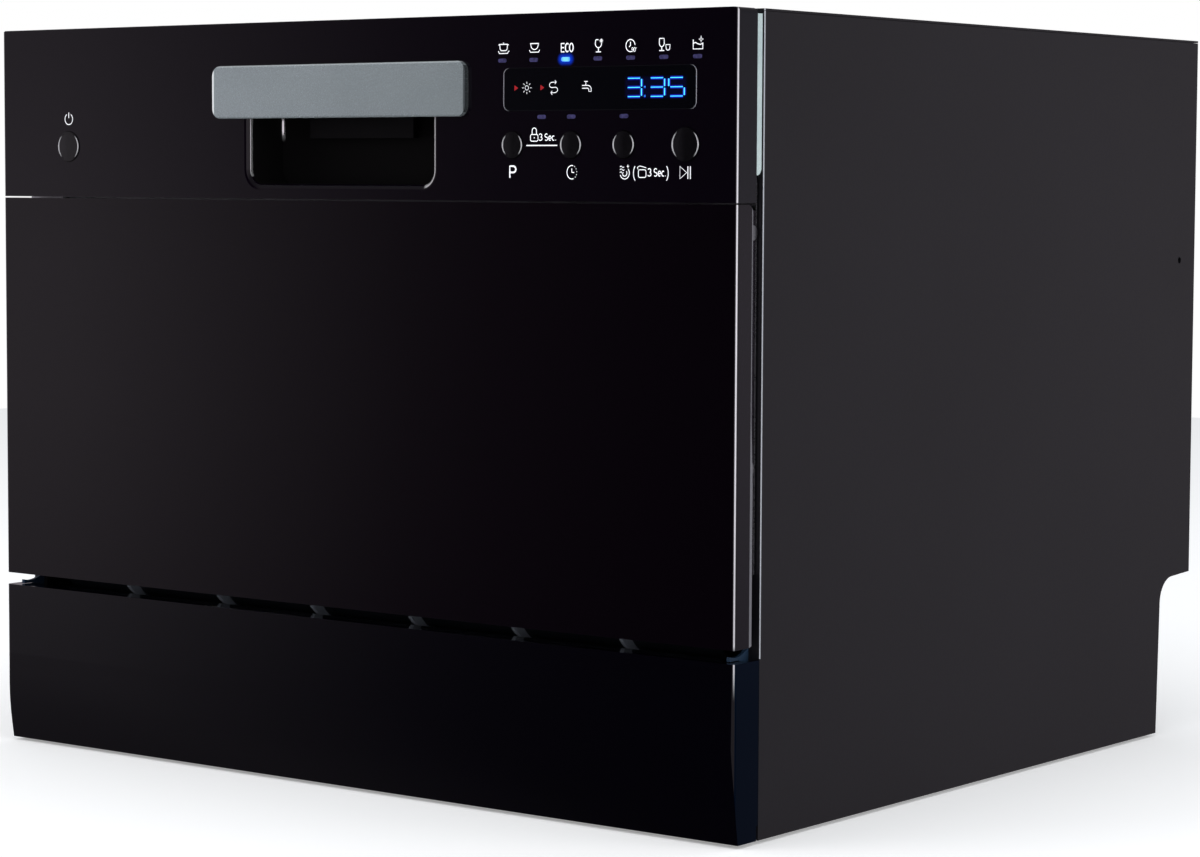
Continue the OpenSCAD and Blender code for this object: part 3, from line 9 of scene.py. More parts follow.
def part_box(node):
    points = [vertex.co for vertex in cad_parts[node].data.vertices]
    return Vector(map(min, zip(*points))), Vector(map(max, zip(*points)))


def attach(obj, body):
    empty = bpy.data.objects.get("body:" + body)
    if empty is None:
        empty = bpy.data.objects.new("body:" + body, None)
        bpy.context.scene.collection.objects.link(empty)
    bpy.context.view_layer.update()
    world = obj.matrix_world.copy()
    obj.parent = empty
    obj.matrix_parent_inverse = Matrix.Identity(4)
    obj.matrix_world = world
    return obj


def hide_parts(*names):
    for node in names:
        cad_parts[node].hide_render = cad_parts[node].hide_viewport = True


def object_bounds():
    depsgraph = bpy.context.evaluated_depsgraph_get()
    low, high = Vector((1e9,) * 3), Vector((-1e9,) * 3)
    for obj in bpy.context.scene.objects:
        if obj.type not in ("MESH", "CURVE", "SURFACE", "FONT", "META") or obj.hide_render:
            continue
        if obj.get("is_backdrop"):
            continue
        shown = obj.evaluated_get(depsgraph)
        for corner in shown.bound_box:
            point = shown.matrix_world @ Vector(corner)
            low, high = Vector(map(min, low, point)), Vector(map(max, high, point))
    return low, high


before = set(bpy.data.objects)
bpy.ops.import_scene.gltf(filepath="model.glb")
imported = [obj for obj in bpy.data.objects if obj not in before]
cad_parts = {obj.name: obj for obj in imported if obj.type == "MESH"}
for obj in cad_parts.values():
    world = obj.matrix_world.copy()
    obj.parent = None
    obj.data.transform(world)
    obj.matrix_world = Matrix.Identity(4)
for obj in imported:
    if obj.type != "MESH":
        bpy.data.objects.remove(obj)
cad_low, cad_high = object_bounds()

# ---------------------------------------------------------------- camera
# A long lens, a little under the height of the machine's top, about two metres from its right front
# corner. The place, the turn and the lens come from fitting the edges of the body to the photograph.
CAMERA_PLACE = (1.26177, -1.65758, 0.34957)
CAMERA_YAW, CAMERA_PITCH, CAMERA_ROLL = 37.394, 4.286, 0.258

camera_data = bpy.data.cameras.new("camera")
camera_data.lens = 99.94
camera_data.sensor_width = 36.0
camera_data.clip_start, camera_data.clip_end = 0.05, 60.0
camera = bpy.data.objects.new("camera", camera_data)
bpy.context.scene.collection.objects.link(camera)
camera.matrix_world = (
    Matrix.Translation(CAMERA_PLACE)
    @ Matrix.Rotation(math.radians(CAMERA_YAW), 4, "Z")
    @ Matrix.Rotation(math.radians(90 - CAMERA_PITCH), 4, "X")
    @ Matrix.Rotation(math.radians(CAMERA_ROLL), 4, "Z")
)
bpy.context.scene.camera = camera
bpy.context.scene.view_settings.view_transform = "Standard"

# ---------------------------------------------------------------- studio
# A white table that keeps the soft shadow of the machine, in a white room. The room's front left is
# hung with dark cloth, so the gloss front mirrors a soft fall from grey to black, as photographed.


def linear(code):
    """Linear colour from an sRGB code such as #aabbcc."""
    parts = [int(code[i : i + 2], 16) / 255 for i in (1, 3, 5)]
    return tuple(c / 12.92 if c <= 0.04045 else ((c + 0.055) / 1.055) ** 2.4 for c in parts) + (1.0,)


def fill(node, inputs):
    """Gives each named or listed input a value, an sRGB code, a socket or a node's first live output."""
    for name, value in inputs.items() if isinstance(inputs, dict) else enumerate(inputs):
        if isinstance(value, bpy.types.Node):
            value = next(output for output in value.outputs if output.enabled)
        if isinstance(value, bpy.types.NodeSocket):
            node.id_data.links.new(value, node.inputs[name])
        else:
            node.inputs[name].default_value = linear(value) if isinstance(value, str) else value


def add(tree, kind, inputs=None, **settings):
    """A node of that kind, with its settings and with its inputs filled."""
    node = tree.nodes.new("ShaderNode" + kind)
    for name, value in settings.items():
        setattr(node, name, value)
    fill(node, inputs or {})
    return node


def stops(ramp_node, *places):
    """Sets the stops of a colour ramp from (place, grey level or sRGB code) pairs."""
    ramp = ramp_node.color_ramp
    while len(ramp.elements) < len(places):
        ramp.elements.new(0.5)
    for element, (place, level) in zip(ramp.elements, places):
        element.position = place
        element.color = linear(level) if isinstance(level, str) else (level, level, level, 1.0)
    return ramp_node


world = bpy.data.worlds.new("studio_room")
bpy.context.scene.world = world
world.use_nodes = True
room = world.node_tree
room.nodes.clear()
direction = add(room, "TexCoord")
split = add(room, "SeparateXYZ", [direction.outputs["Generated"]])
towards_front = add(room, "Math", [split.outputs[1], -1.0], operation="MULTIPLY")
heading = add(room, "Math", [split.outputs[0], towards_front], operation="ARCTAN2")
heading_turn = add(room, "MapRange", {"Value": heading, "From Min": -math.pi, "From Max": math.pi,
                                      "To Min": 0.0, "To Max": 1.0})


# walls by heading from straight in front, in degrees: dark cloth on the left, white on the right
WALL_LEVELS = ((-180, 0.42), (-90, 0.75), (-60, 0.62), (-46.6, 0.55), (-45.1, 0.43), (-43.6, 0.31),
               (-42.5, 0.24), (-41.5, 0.16), (-40.5, 0.11), (-39, 0.065), (-36.4, 0.03), (-34, 0.01),
               (-8, 0.01), (8, 1.0), (96, 1.0), (128, 0.42), (180, 0.42))
walls = stops(add(room, "ValToRGB", [heading_turn]),
              *((0.5 + degrees / 360, level) for degrees, level in WALL_LEVELS))
# the walls darken towards the floor and, less, towards the ceiling; heights are sines of the slope
SINE_SPAN = 1.0
SINE_LEVELS = ((-0.48, 0.18), (-0.29, 0.32), (-0.193, 0.46), (-0.155, 0.5), (-0.137, 0.6),
               (-0.108, 0.78), (-0.066, 0.95), (-0.022, 1.0), (0.037, 0.8), (0.12, 0.6))
sine_turn = add(room, "MapRange", {
    "Value": split.outputs[2], "From Min": -SINE_SPAN / 2, "From Max": SINE_SPAN / 2})
wall_height = stops(add(room, "ValToRGB", [sine_turn]),
                    *((0.5 + sine / SINE_SPAN, level) for sine, level in SINE_LEVELS))
wall_light = add(room, "Mix", {0: 1.0, 6: walls, 7: wall_height}, data_type="RGBA", blend_type="MULTIPLY")
wall_tint = add(room, "Mix", {0: 1.0, 6: wall_light, 7: (1.0, 0.91, 0.99, 1.0)}, data_type="RGBA",
                blend_type="MULTIPLY")
ceiling = add(room, "MapRange", {"Value": split.outputs[2], "From Min": 0.25, "From Max": 0.7,
                                 "To Min": 0.0, "To Max": 1.0})
mirrored_room = add(room, "Mix", {0: ceiling, 6: wall_tint, 7: (0.2, 0.2, 0.21, 1.0)}, data_type="RGBA")
ray = add(room, "LightPath")
seen = add(room, "Math", {0: ray.outputs["Is Camera Ray"], 1: ray.outputs["Is Transmission Ray"]},
           operation="MAXIMUM")
fill_light = add(room, "Background", {"Color": (0.94, 0.97, 1.0, 1.0), "Strength": 0.55})
mirrored = add(room, "Background", {"Color": mirrored_room, "Strength": 1.0})
white = add(room, "Background", {"Color": (1.0, 1.0, 1.0, 1.0), "Strength": 1.0})
lit = add(room, "MixShader", {0: ray.outputs["Is Glossy Ray"], 1: fill_light, 2: mirrored})
shown = add(room, "MixShader", {0: seen, 1: lit, 2: white})
add(room, "OutputWorld", {"Surface": shown})

TABLE_SIZE, TABLE_SHIFT = 5.0, 0.3


def solid(name, shape, material):
    """A finished bmesh as an object of the scene, with its material."""
    data = bpy.data.meshes.new(name)
    shape.to_mesh(data)
    shape.free()
    data.materials.append(material)
    piece = bpy.data.objects.new(name, data)
    bpy.context.scene.collection.objects.link(piece)
    return piece


# Matt white paper, lifted a little for the eye so that it joins the white room.
table_paper = bpy.data.materials.new("white_table_paper")
table_paper.use_nodes = True
tree = table_paper.node_tree
tree.nodes.clear()
paper = add(tree, "BsdfDiffuse", {"Color": (0.86, 0.86, 0.87, 1.0)})
lift = add(tree, "Emission", {"Color": (1.0, 1.0, 1.0, 1.0), "Strength": 0.3})
dark = add(tree, "Emission", {"Color": (0.0, 0.0, 0.0, 1.0), "Strength": 0.0})
lift = add(tree, "MixShader", [add(tree, "LightPath").outputs["Is Camera Ray"], dark, lift])
add(tree, "OutputMaterial", {"Surface": add(tree, "AddShader", [paper, lift])})
table_mesh = bmesh.new()
bmesh.ops.create_grid(table_mesh, x_segments=4, y_segments=4, size=TABLE_SIZE / 2)
table = solid("table", table_mesh, table_paper)
table.location.y = TABLE_SHIFT
table.visible_glossy = False
table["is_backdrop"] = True


def softbox(name, place, target, width, height, power):
    """A rectangular lamp at a place, turned towards a target."""
    data = bpy.data.lights.new(name, "AREA")
    data.shape = "RECTANGLE"
    data.size, data.size_y = width, height
    data.energy = power
    lamp = bpy.data.objects.new(name, data)
    bpy.context.scene.collection.objects.link(lamp)
    lamp.location = place
    aim = Vector(target) - Vector(place)
    lamp.rotation_euler = aim.to_track_quat("-Z", "Y").to_euler()
    lamp.visible_glossy = False
    return lamp


softbox("overhead_softbox", (0.2, -0.4, 2.4), (0.0, 0.0, 0.2), 2.2, 2.2, 26.0)
softbox("front_softbox", (-1.4, -2.0, 1.3), (0.0, -0.2, 0.2), 1.4, 1.0, 12.0)
softbox("side_softbox", (1.15, 0.12, 0.3), (0.275, 0.03, 0.24), 0.4, 0.3, 1.6)

# ---------------------------------------------------------------- side panels and top
# Folded sheet steel, powder coated in satin charcoal. The side panels hook under the top panel's
# skirt and end in a folded edge behind the door.

FRONT = cad_low.y + 0.003
FOLD_Y = FRONT + 0.023


def finish(name, colour, roughness, metallic=0.0, **sockets):
    """A new material, its tree, its shader with the plain values set, and the object's coordinates."""
    material = bpy.data.materials.new(name)
    material.use_nodes = True
    nodes = material.node_tree
    nodes.nodes.clear()
    shader = add(nodes, "BsdfPrincipled", {"Base Color": colour, "Roughness": roughness,
                                           "Metallic": metallic})
    for socket, value in sockets.items():
        shader.inputs[socket.replace("_", " ").title().replace("Ior", "IOR")].default_value = value
    add(nodes, "OutputMaterial", {"Surface": shader})
    place = add(nodes, "TexCoord").outputs["Object"]
    return material, nodes, shader, place


def bump(nodes, shader, height, strength, distance):
    """Joins a height to the shader as a bump, with its depth in metres."""
    node = add(nodes, "Bump", {"Height": height, "Strength": strength, "Distance": distance})
    fill(shader, {"Normal": node})


def paint(material, *names):
    """Gives CAD nodes their material."""
    for name in names:
        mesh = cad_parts[name].data
        mesh.materials.clear()
        mesh.materials.append(material)


# Powder coat: a fine orange peel, which the eye sees as a soft, slightly uneven sheen. A fine pale line
# along the front fold behind the door is a painted highlight.
powder_coat, nodes, shader, place = finish("powder_coated_steel", "#17161a", 0.42, specular_ior_level=0.45)
peel = add(nodes, "TexNoise", {"Vector": place, "Scale": 900.0, "Detail": 2.0, "Roughness": 0.5})
cloud = add(nodes, "TexNoise", {"Vector": place, "Scale": 6.0, "Detail": 3.0, "Roughness": 0.5})
tone = stops(add(nodes, "ValToRGB", [cloud]), (0.3, "#16151a"), (0.7, "#19181d"))
at = add(nodes, "SeparateXYZ", [place])
side = add(nodes, "Math", [at.outputs[0]], operation="ABSOLUTE")
# painted highlight: a pale line along the front fold, above the plinth
outside = add(nodes, "Math", [side, 0.2748], operation="GREATER_THAN")
fold = add(nodes, "MapRange", {"Value": at.outputs[1], "From Min": FOLD_Y + 0.0012,
                               "From Max": FOLD_Y + 0.0006})
above_plinth = add(nodes, "Math", [at.outputs[2], 0.0985], operation="GREATER_THAN")
fold_highlight = add(nodes, "Math", [outside, fold], operation="MULTIPLY")
fold_highlight = add(nodes, "Math", [fold_highlight, above_plinth], operation="MULTIPLY")
coat_and_highlight = add(nodes, "Mix", {0: fold_highlight, 6: tone, 7: "#c9cbd2"}, data_type="RGBA")
sheen = add(nodes, "MapRange", {"Value": peel, "To Min": 0.38, "To Max": 0.48})
fill(shader, {"Base Color": coat_and_highlight, "Roughness": sheen})
bump(nodes, shader, peel, 0.35, 0.00008)
paint(powder_coat, "side_panel_left", "side_panel_right", "top_panel")

# ---------------------------------------------------------------- back panel and screws
# Bare galvanised sheet with a pressed frame and vent slots, held by eight zinc plated screws.



def mottle(nodes, shader, pattern, low, high, smooth, rough):
    """Base colour between two ramp stops, and roughness between two values, from one pattern."""
    fill(shader, {
        "Base Color": stops(add(nodes, "ValToRGB", [pattern]), low, high),
        "Roughness": add(nodes, "MapRange", {"Value": pattern, "To Min": smooth, "To Max": rough})})


# Galvanised sheet: the zinc has set in crystals, seen as faint patches that catch the light apart.
galvanised, nodes, shader, place = finish("galvanised_sheet", "#8f9396", 0.38, metallic=0.85)
crystals = add(nodes, "TexVoronoi", {"Vector": place, "Scale": 120.0}, feature="F1")
mottle(nodes, shader, crystals.outputs["Color"], (0.2, "#7f8386"), (0.9, "#a2a6a9"), 0.3, 0.5)
paint(galvanised, "back_panel")

# Zinc plating: a bright, slightly blue skin with fine scratches.
zinc, nodes, shader, place = finish("zinc_plated_steel", "#a9adb1", 0.3, metallic=1.0)
scratch = add(nodes, "TexNoise", {"Vector": place, "Scale": 700.0, "Detail": 4.0})
scratch_sheen = add(nodes, "MapRange", {"Value": scratch, "To Min": 0.22, "To Max": 0.42})
fill(shader, {"Roughness": scratch_sheen})
paint(zinc, "cabinet_screws", "hinge_bracket_left", "hinge_bracket_right", "hinge_arm_left",
      "hinge_arm_right", "latch_striker", "latch_hook", "roller_pins", "door_screws")

# ---------------------------------------------------------------- door front and plinth
# Injection moulded ABS with a piano finish, straight from a polished mould. The vertical edges are
# rounded and carry a thin painted highlight line from top to bottom.

CORNER_X, CORNER_DEEP = 0.273, 0.002
EDGE_TURN, EDGE_CORE, EDGE_FADE, EDGE_LIGHT = math.radians(45), 0.10, 0.30, 0.6
FLANGE_X, FLANGE_DEEP = 0.2745, 0.0133


def band(tree, value, middle, core, fade):
    """1 within core of the middle, falling softly to 0 at fade."""
    off = add(tree, "Math", [value, middle], operation="SUBTRACT")
    off = add(tree, "Math", [off], operation="ABSOLUTE")
    return add(tree, "MapRange", {"Value": off, "From Min": fade, "From Max": core},
               interpolation_type="SMOOTHSTEP")


def piano_black(name, colour, painted_side_sheen, edge_low, edge_high, side_mirror=0.0):
    """Gloss black ABS with a painted highlight on its rounded vertical edges between two heights.

    side_mirror is the metal share of the flanks at either side, whose mirror takes the tint of the painted
    side sheen.
    """
    material, nodes, shader, place = finish(name, colour, 0.05, specular_ior_level=0.32)
    at = add(nodes, "SeparateXYZ", [place])
    side = add(nodes, "Math", [at.outputs[0]], operation="ABSOLUTE")
    over = add(nodes, "Math", [side, CORNER_X], operation="SUBTRACT", use_clamp=True)
    deep = add(nodes, "Math", [FRONT + CORNER_DEEP, at.outputs[1]], operation="SUBTRACT", use_clamp=True)
    turn = add(nodes, "Math", [over, deep], operation="ARCTAN2")
    corner = add(nodes, "Math", [over, deep], operation="MULTIPLY")
    corner = add(nodes, "Math", [corner, 1e-9], operation="GREATER_THAN")
    above = add(nodes, "MapRange", {"Value": at.outputs[2], "From Min": edge_low, "From Max": edge_high},
                interpolation_type="SMOOTHSTEP")
    # painted highlight: the rounded vertical edges turn near white and metallic within a band of angles
    edge_band = band(nodes, turn, EDGE_TURN, EDGE_CORE, EDGE_FADE)
    painted_edge_highlight = add(nodes, "Math", [edge_band, corner], operation="MULTIPLY")
    painted_edge_highlight = add(nodes, "Math", [painted_edge_highlight, above], operation="MULTIPLY")
    # painted sheen: the flanks at either side take a colour of their own, paler or tinted
    on_side = add(nodes, "Math", [side, CORNER_X + CORNER_DEEP - 0.0002], operation="GREATER_THAN")
    skin = add(nodes, "Mix", {0: on_side, 6: colour, 7: painted_side_sheen}, data_type="RGBA")
    skin = add(nodes, "Mix", {0: painted_edge_highlight, 6: skin, 7: "#f2f3f6"}, data_type="RGBA")
    edge_shine = add(nodes, "Math", [painted_edge_highlight, EDGE_LIGHT], operation="MULTIPLY")
    side_shine = add(nodes, "Math", [on_side, side_mirror], operation="MULTIPLY")
    shine = add(nodes, "Math", [edge_shine, side_shine], operation="MAXIMUM")
    # slow waves of the moulded face, and a little dust in the gloss
    wave = add(nodes, "TexNoise", {"Vector": place, "Scale": 14.0, "Detail": 1.0})
    dust = add(nodes, "TexNoise", {"Vector": place, "Scale": 260.0, "Detail": 4.0, "Roughness": 0.7})
    haze = add(nodes, "MapRange", {
        "Value": dust, "From Min": 0.45, "From Max": 0.8, "To Min": 0.045, "To Max": 0.12})
    fill(shader, {"Base Color": skin, "Metallic": shine, "Roughness": haze})
    bump(nodes, shader, wave, 0.04, 0.0004)
    return material, nodes, shader, at, skin, haze, shine


# Door panel: its side flange ends in a thin edge that carries a pale painted highlight.
door_black, nodes, shader, at, skin, haze, shine = piano_black(
    "piano_black_abs_door", "#060207", "#100d15", 0.104, 0.108)
flange = add(nodes, "Math", [at.outputs[0]], operation="ABSOLUTE")
flange = add(nodes, "Math", [flange, FLANGE_X], operation="GREATER_THAN")
flange_back = add(nodes, "Math", [at.outputs[1], FRONT + FLANGE_DEEP], operation="GREATER_THAN")
flange_highlight = add(nodes, "Math", [flange, flange_back], operation="MULTIPLY")
fill(shader, {"Base Color": add(nodes, "Mix", {0: flange_highlight, 6: skin, 7: "#77767c"}, data_type="RGBA")})
paint(door_black, "door_outer_panel")

# Plinth: the same black, with its painted edge highlight near the top only, and its sides a dark blue metal
# tint as a painted reflection.
plinth_black = piano_black("piano_black_abs_plinth", "#030207", "#021b34", 0.078, 0.0975, side_mirror=1.0)[0]
paint(plinth_black, "plinth")

# Fascia: the same black. The finger recess is matt and painted black inside as shade, and its moulded lip
# carries painted highlights left and right.
RECESS_HALF, RECESS_LOW, RECESS_CORNER, RECESS_LIP = 0.069, 0.346, 0.008, 0.0035
RECESS_TOP, RECESS_DEEP, INNER_LINE_X, INNER_LINE_DEEP = 0.4, 0.0028, -0.0672, 0.0296
LIT_LAMP_X, LIT_LAMP_Z, LIT_LAMP_HALF = 0.1625, 0.4131, 0.0022

fascia_black, nodes, shader, at, skin, haze, shine = piano_black(
    "piano_black_abs_fascia", "#07030a", "#0b0c14", 0.330, 0.334)
across = add(nodes, "Math", [at.outputs[0]], operation="ABSOLUTE")
across = add(nodes, "Math", [across, RECESS_HALF - RECESS_CORNER], operation="SUBTRACT", use_clamp=True)
below = add(nodes, "Math", [RECESS_LOW + RECESS_CORNER, at.outputs[2]], operation="SUBTRACT", use_clamp=True)
from_corner = add(nodes, "VectorMath", [add(nodes, "CombineXYZ", [across, below])], operation="LENGTH")
# the turn of the lip, from the flat front at 0 to the recess wall at a right angle
lip_out = add(nodes, "Math", [RECESS_CORNER + RECESS_LIP, from_corner], operation="SUBTRACT", use_clamp=True)
lip_deep = add(nodes, "Math", [FRONT + RECESS_LIP, at.outputs[1]], operation="SUBTRACT", use_clamp=True)
lip_turn = add(nodes, "Math", [lip_out, lip_deep], operation="ARCTAN2")
on_lip = add(nodes, "Math", [lip_out, 0.0002], operation="GREATER_THAN")
for limit, value, operation in ((0.00005, lip_deep, "GREATER_THAN"),
                                (RECESS_TOP, at.outputs[2], "LESS_THAN")):
    within = add(nodes, "Math", [value, limit], operation=operation)
    on_lip = add(nodes, "Math", [on_lip, within], operation="MULTIPLY")
# the two painted highlight lines, each fading out where the lip rounds its lower corner
corner_turn = add(nodes, "Math", [below, across], operation="ARCTAN2")
lip_lines = []
for middle, core, fade, gone, full in ((76, 0.16, 0.32, 32, 14), (37, 0.26, 0.42, 80, 62)):
    line = band(nodes, lip_turn, math.radians(middle), core, fade)
    lasting = add(nodes, "MapRange", {
        "Value": corner_turn, "From Min": math.radians(gone), "From Max": math.radians(full)},
        interpolation_type="SMOOTHSTEP")
    lip_lines.append(add(nodes, "Math", [line, lasting], operation="MULTIPLY"))
on_right = add(nodes, "Math", [at.outputs[0], 0.0], operation="GREATER_THAN")
lip_line = add(nodes, "Mix", {0: on_right, 2: lip_lines[0], 3: lip_lines[1]})
lip_line = add(nodes, "Math", [lip_line, on_lip], operation="MULTIPLY")
# the inside of the recess, painted black as shade, with a short painted highlight line on its left wall
inside = add(nodes, "Math", [from_corner, RECESS_CORNER + 0.001], operation="LESS_THAN")
behind = add(nodes, "Math", [at.outputs[1], FRONT + RECESS_DEEP], operation="GREATER_THAN")
inside = add(nodes, "Math", [inside, behind], operation="MULTIPLY")
inner_line = band(nodes, at.outputs[1], FRONT + INNER_LINE_DEEP, 0.0009, 0.0020)
inner_foot = add(nodes, "MapRange", {"Value": at.outputs[2], "From Min": 0.3700, "From Max": 0.3765},
                 interpolation_type="SMOOTHSTEP")
inner_side = add(nodes, "Math", [at.outputs[0], INNER_LINE_X], operation="LESS_THAN")
for limit in (inner_foot, inner_side, inside):
    inner_line = add(nodes, "Math", [inner_line, limit], operation="MULTIPLY")
painted_lip_highlights = add(nodes, "Math", [lip_line, inner_line], operation="MAXIMUM")
# painted shade: black inside the recess; painted highlights: white on the lip lines and the inner wall line
recess_tone = add(nodes, "Mix", {0: inside, 6: skin, 7: "#000000"}, data_type="RGBA")
recess_tone = add(nodes, "Mix", {0: painted_lip_highlights, 6: recess_tone, 7: "#ffffff"}, data_type="RGBA")
lip_shine = add(nodes, "Math", [painted_lip_highlights, 0.85], operation="MULTIPLY")
matt_inside = add(nodes, "Math", [inside, painted_lip_highlights], operation="SUBTRACT")
matt_inside = add(nodes, "Math", [matt_inside, 0.75], operation="MULTIPLY")
# light of the lit lamp on the gloss around it
lamp_off_x = add(nodes, "Math", [at.outputs[0], LIT_LAMP_X], operation="SUBTRACT")
lamp_off_x = add(nodes, "Math", [lamp_off_x], operation="ABSOLUTE")
lamp_off_x = add(nodes, "Math", [lamp_off_x, LIT_LAMP_HALF], operation="SUBTRACT", use_clamp=True)
lamp_off_z = add(nodes, "Math", [at.outputs[2], LIT_LAMP_Z], operation="SUBTRACT")
lamp_off = add(nodes, "VectorMath", [add(nodes, "CombineXYZ", [lamp_off_x, lamp_off_z])], operation="LENGTH")
halo = add(nodes, "MapRange", {"Value": lamp_off, "From Min": 0.0042, "From Max": 0.0006},
           interpolation_type="SMOOTHERSTEP")
fill(shader, {
    "Base Color": recess_tone,
    "Metallic": add(nodes, "Math", [shine, lip_shine], operation="MAXIMUM"),
    "Roughness": add(nodes, "Math", [haze, matt_inside], operation="MAXIMUM"),
    "Emission Color": add(nodes, "Mix", {0: halo, 6: "#000000", 7: "#0636c8"}, data_type="RGBA"),
    "Emission Strength": 1.0,
})
paint(fascia_black, "control_fascia")

# ---------------------------------------------------------------- display window
# A smoked acrylic window let into the fascia, with a thin chromed rim that carries painted highlights. Four
# clock digits shine through it, and their light spreads a little in the smoked sheet.

WINDOW_LEFT, WINDOW_RIGHT, WINDOW_LOW, WINDOW_HIGH = 0.1200, 0.2484, 0.3860, 0.4088
DIGITS_LEFT, DIGITS_RIGHT, DIGITS_LOW, DIGITS_HIGH = 0.2025, 0.2414, 0.3923, 0.4026

# Smoked acrylic: deep black gloss, with the digits' blue light falling off around them.
smoked, nodes, shader, place = finish("smoked_acrylic", "#040408", 0.04, specular_ior_level=0.3)
at = add(nodes, "SeparateXYZ", [place])
apart = []
for axis, low, high in ((0, DIGITS_LEFT, DIGITS_RIGHT), (2, DIGITS_LOW, DIGITS_HIGH)):
    beyond = add(nodes, "Math", [at.outputs[axis], (low + high) / 2], operation="SUBTRACT")
    beyond = add(nodes, "Math", [beyond], operation="ABSOLUTE")
    apart.append(add(nodes, "Math", [beyond, (high - low) / 2 - 0.001], operation="SUBTRACT", use_clamp=True))
off_digits = add(nodes, "VectorMath", [add(nodes, "CombineXYZ", apart)], operation="LENGTH")
glow = add(nodes, "MapRange", {"Value": off_digits, "From Min": 0.0026, "From Max": 0.0},
           interpolation_type="SMOOTHERSTEP")
fill(shader, {"Emission Color": add(nodes, "Mix", {0: glow, 6: "#000000", 7: "#02031f"}, data_type="RGBA"),
              "Emission Strength": 1.0})
paint(smoked, "display_window")


def arc(x, z, rx, rz, start, end, steps=10):
    """Points along part of an ellipse, by angles in degrees, in mm."""
    turns = [math.radians(start + (end - start) * i / steps) for i in range(steps + 1)]
    return [(x + rx * math.cos(t), z + rz * math.sin(t)) for t in turns]


def printed(name, lines, material, lift):
    """Flat strokes on the front: lines are (points in mm, closed, width in mm), and lift is their height."""
    path = bpy.data.curves.new(name + "_path", "CURVE")
    path.dimensions = "3D"
    path.bevel_depth = 0.0005
    path.bevel_resolution = 1
    path.use_fill_caps = True
    for points, closed, width in lines:
        spline = path.splines.new("POLY")
        spline.points.add(len(points) - 1)
        spline.use_cyclic_u = closed
        for point, (x, z) in zip(spline.points, points):
            point.co = (x / 1000, 0.0, z / 1000, 1.0)
            point.radius = width
    carrier = bpy.data.objects.new(name + "_path", path)
    bpy.context.scene.collection.objects.link(carrier)
    strokes = bmesh.new()
    strokes.from_mesh(carrier.evaluated_get(bpy.context.evaluated_depsgraph_get()).to_mesh())
    strokes.transform(Matrix.Translation((0.0, FRONT, 0.0))
                      @ Matrix.Diagonal((1.0, lift / path.bevel_depth, 1.0, 1.0)))
    bpy.data.objects.remove(carrier)
    bpy.data.curves.remove(path)
    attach(solid(name, strokes, material), "door")


def rounded(x0, x1, z0, z1, r, steps=6):
    """Points round a rectangle with round corners, in mm."""
    points = []
    for x, z, start in ((x1 - r, z0 + r, -90), (x1 - r, z1 - r, 0),
                        (x0 + r, z1 - r, 90), (x0 + r, z0 + r, 180)):
        points += arc(x, z, r, r, start, start + 90, steps)
    return points


# Chromed rim: painted highlights where it faces left and right, and painted dark grey along its top and
# bottom.
rim_chrome, nodes, shader, place = finish("window_rim_painted_highlights", "#7c8088", 0.25, metallic=0.8)
at = add(nodes, "SeparateXYZ", [place])
middle = add(nodes, "Math", [at.outputs[0], (WINDOW_LEFT + WINDOW_RIGHT) / 2], operation="SUBTRACT")
aside = add(nodes, "Math", [middle], operation="ABSOLUTE")
# painted highlights at the rim's left and right ends, painted dark grey between them
ends = add(nodes, "MapRange", {"Value": aside, "From Min": 0.0598, "From Max": 0.0638},
           interpolation_type="SMOOTHSTEP")
rim_tone = add(nodes, "Mix", {0: ends, 6: "#1b1c22", 7: "#d2d5dc"}, data_type="RGBA")
fill(shader, {"Base Color": rim_tone})
window_edge = rounded(1000 * WINDOW_LEFT, 1000 * WINDOW_RIGHT, 1000 * WINDOW_LOW, 1000 * WINDOW_HIGH, 3.6)
printed("window_rim", [(window_edge, True, 0.5)], rim_chrome, 0.00008)

# Digits: light through the smoked sheet, a clear blue with a paler heart.
digit_blue, nodes, shader, place = finish("lit_digits", "#0a2a8a", 0.4)
fill(shader, {"Emission Color": "#3fc3ff", "Emission Strength": 2.2})
SEGMENTS = {"top": ((1, 1), (9, 1)), "middle": ((1, 0.5), (9, 0.5)), "bottom": ((1, 0), (9, 0)),
            "upper_left": ((0, 0.95), (0, 0.55)), "upper_right": ((10, 0.95), (10, 0.55)),
            "lower_right": ((10, 0.45), (10, 0.05))}
DIGIT_HIGH = 9.6
DIGIT_FOOT, DIGIT_PEN = 392.7, 1.12
digit_lines = []
for left, lit_segments in (
    (203.0, ("top", "middle", "bottom", "upper_right", "lower_right")),
    (218.0, ("top", "middle", "bottom", "upper_right", "lower_right")),
    (230.7, ("top", "middle", "bottom", "upper_left", "lower_right")),
):
    for segment in lit_segments:
        (x0, h0), (x1, h1) = SEGMENTS[segment]
        stroke_ends = [(left + x0, DIGIT_FOOT + h0 * DIGIT_HIGH), (left + x1, DIGIT_FOOT + h1 * DIGIT_HIGH)]
        digit_lines.append((stroke_ends, False, DIGIT_PEN))
for z in (392.9, 397.7):
    digit_lines.append(([(214.6, z), (215.6, z)], False, 1.0))
printed("display_digits", digit_lines, digit_blue, 0.00006)

# Spread light: the smoked sheet scatters a dark blue fringe round each lit stroke.
digit_fringe, nodes, shader, place = finish("scattered_digit_light", "#03061c", 0.3)
fill(shader, {"Emission Color": "#0b1fae", "Emission Strength": 1.0})
fringe_lines = [(points, closed, width + 0.9) for points, closed, width in digit_lines]
printed("display_fringe", fringe_lines, digit_fringe, 0.00003)

# ---------------------------------------------------------------- printed legends
# Screen printed pictograms above and below the lamps and buttons, in one matt white ink, drawn with
# one pen width. The red marks in the window point at the two refill symbols.

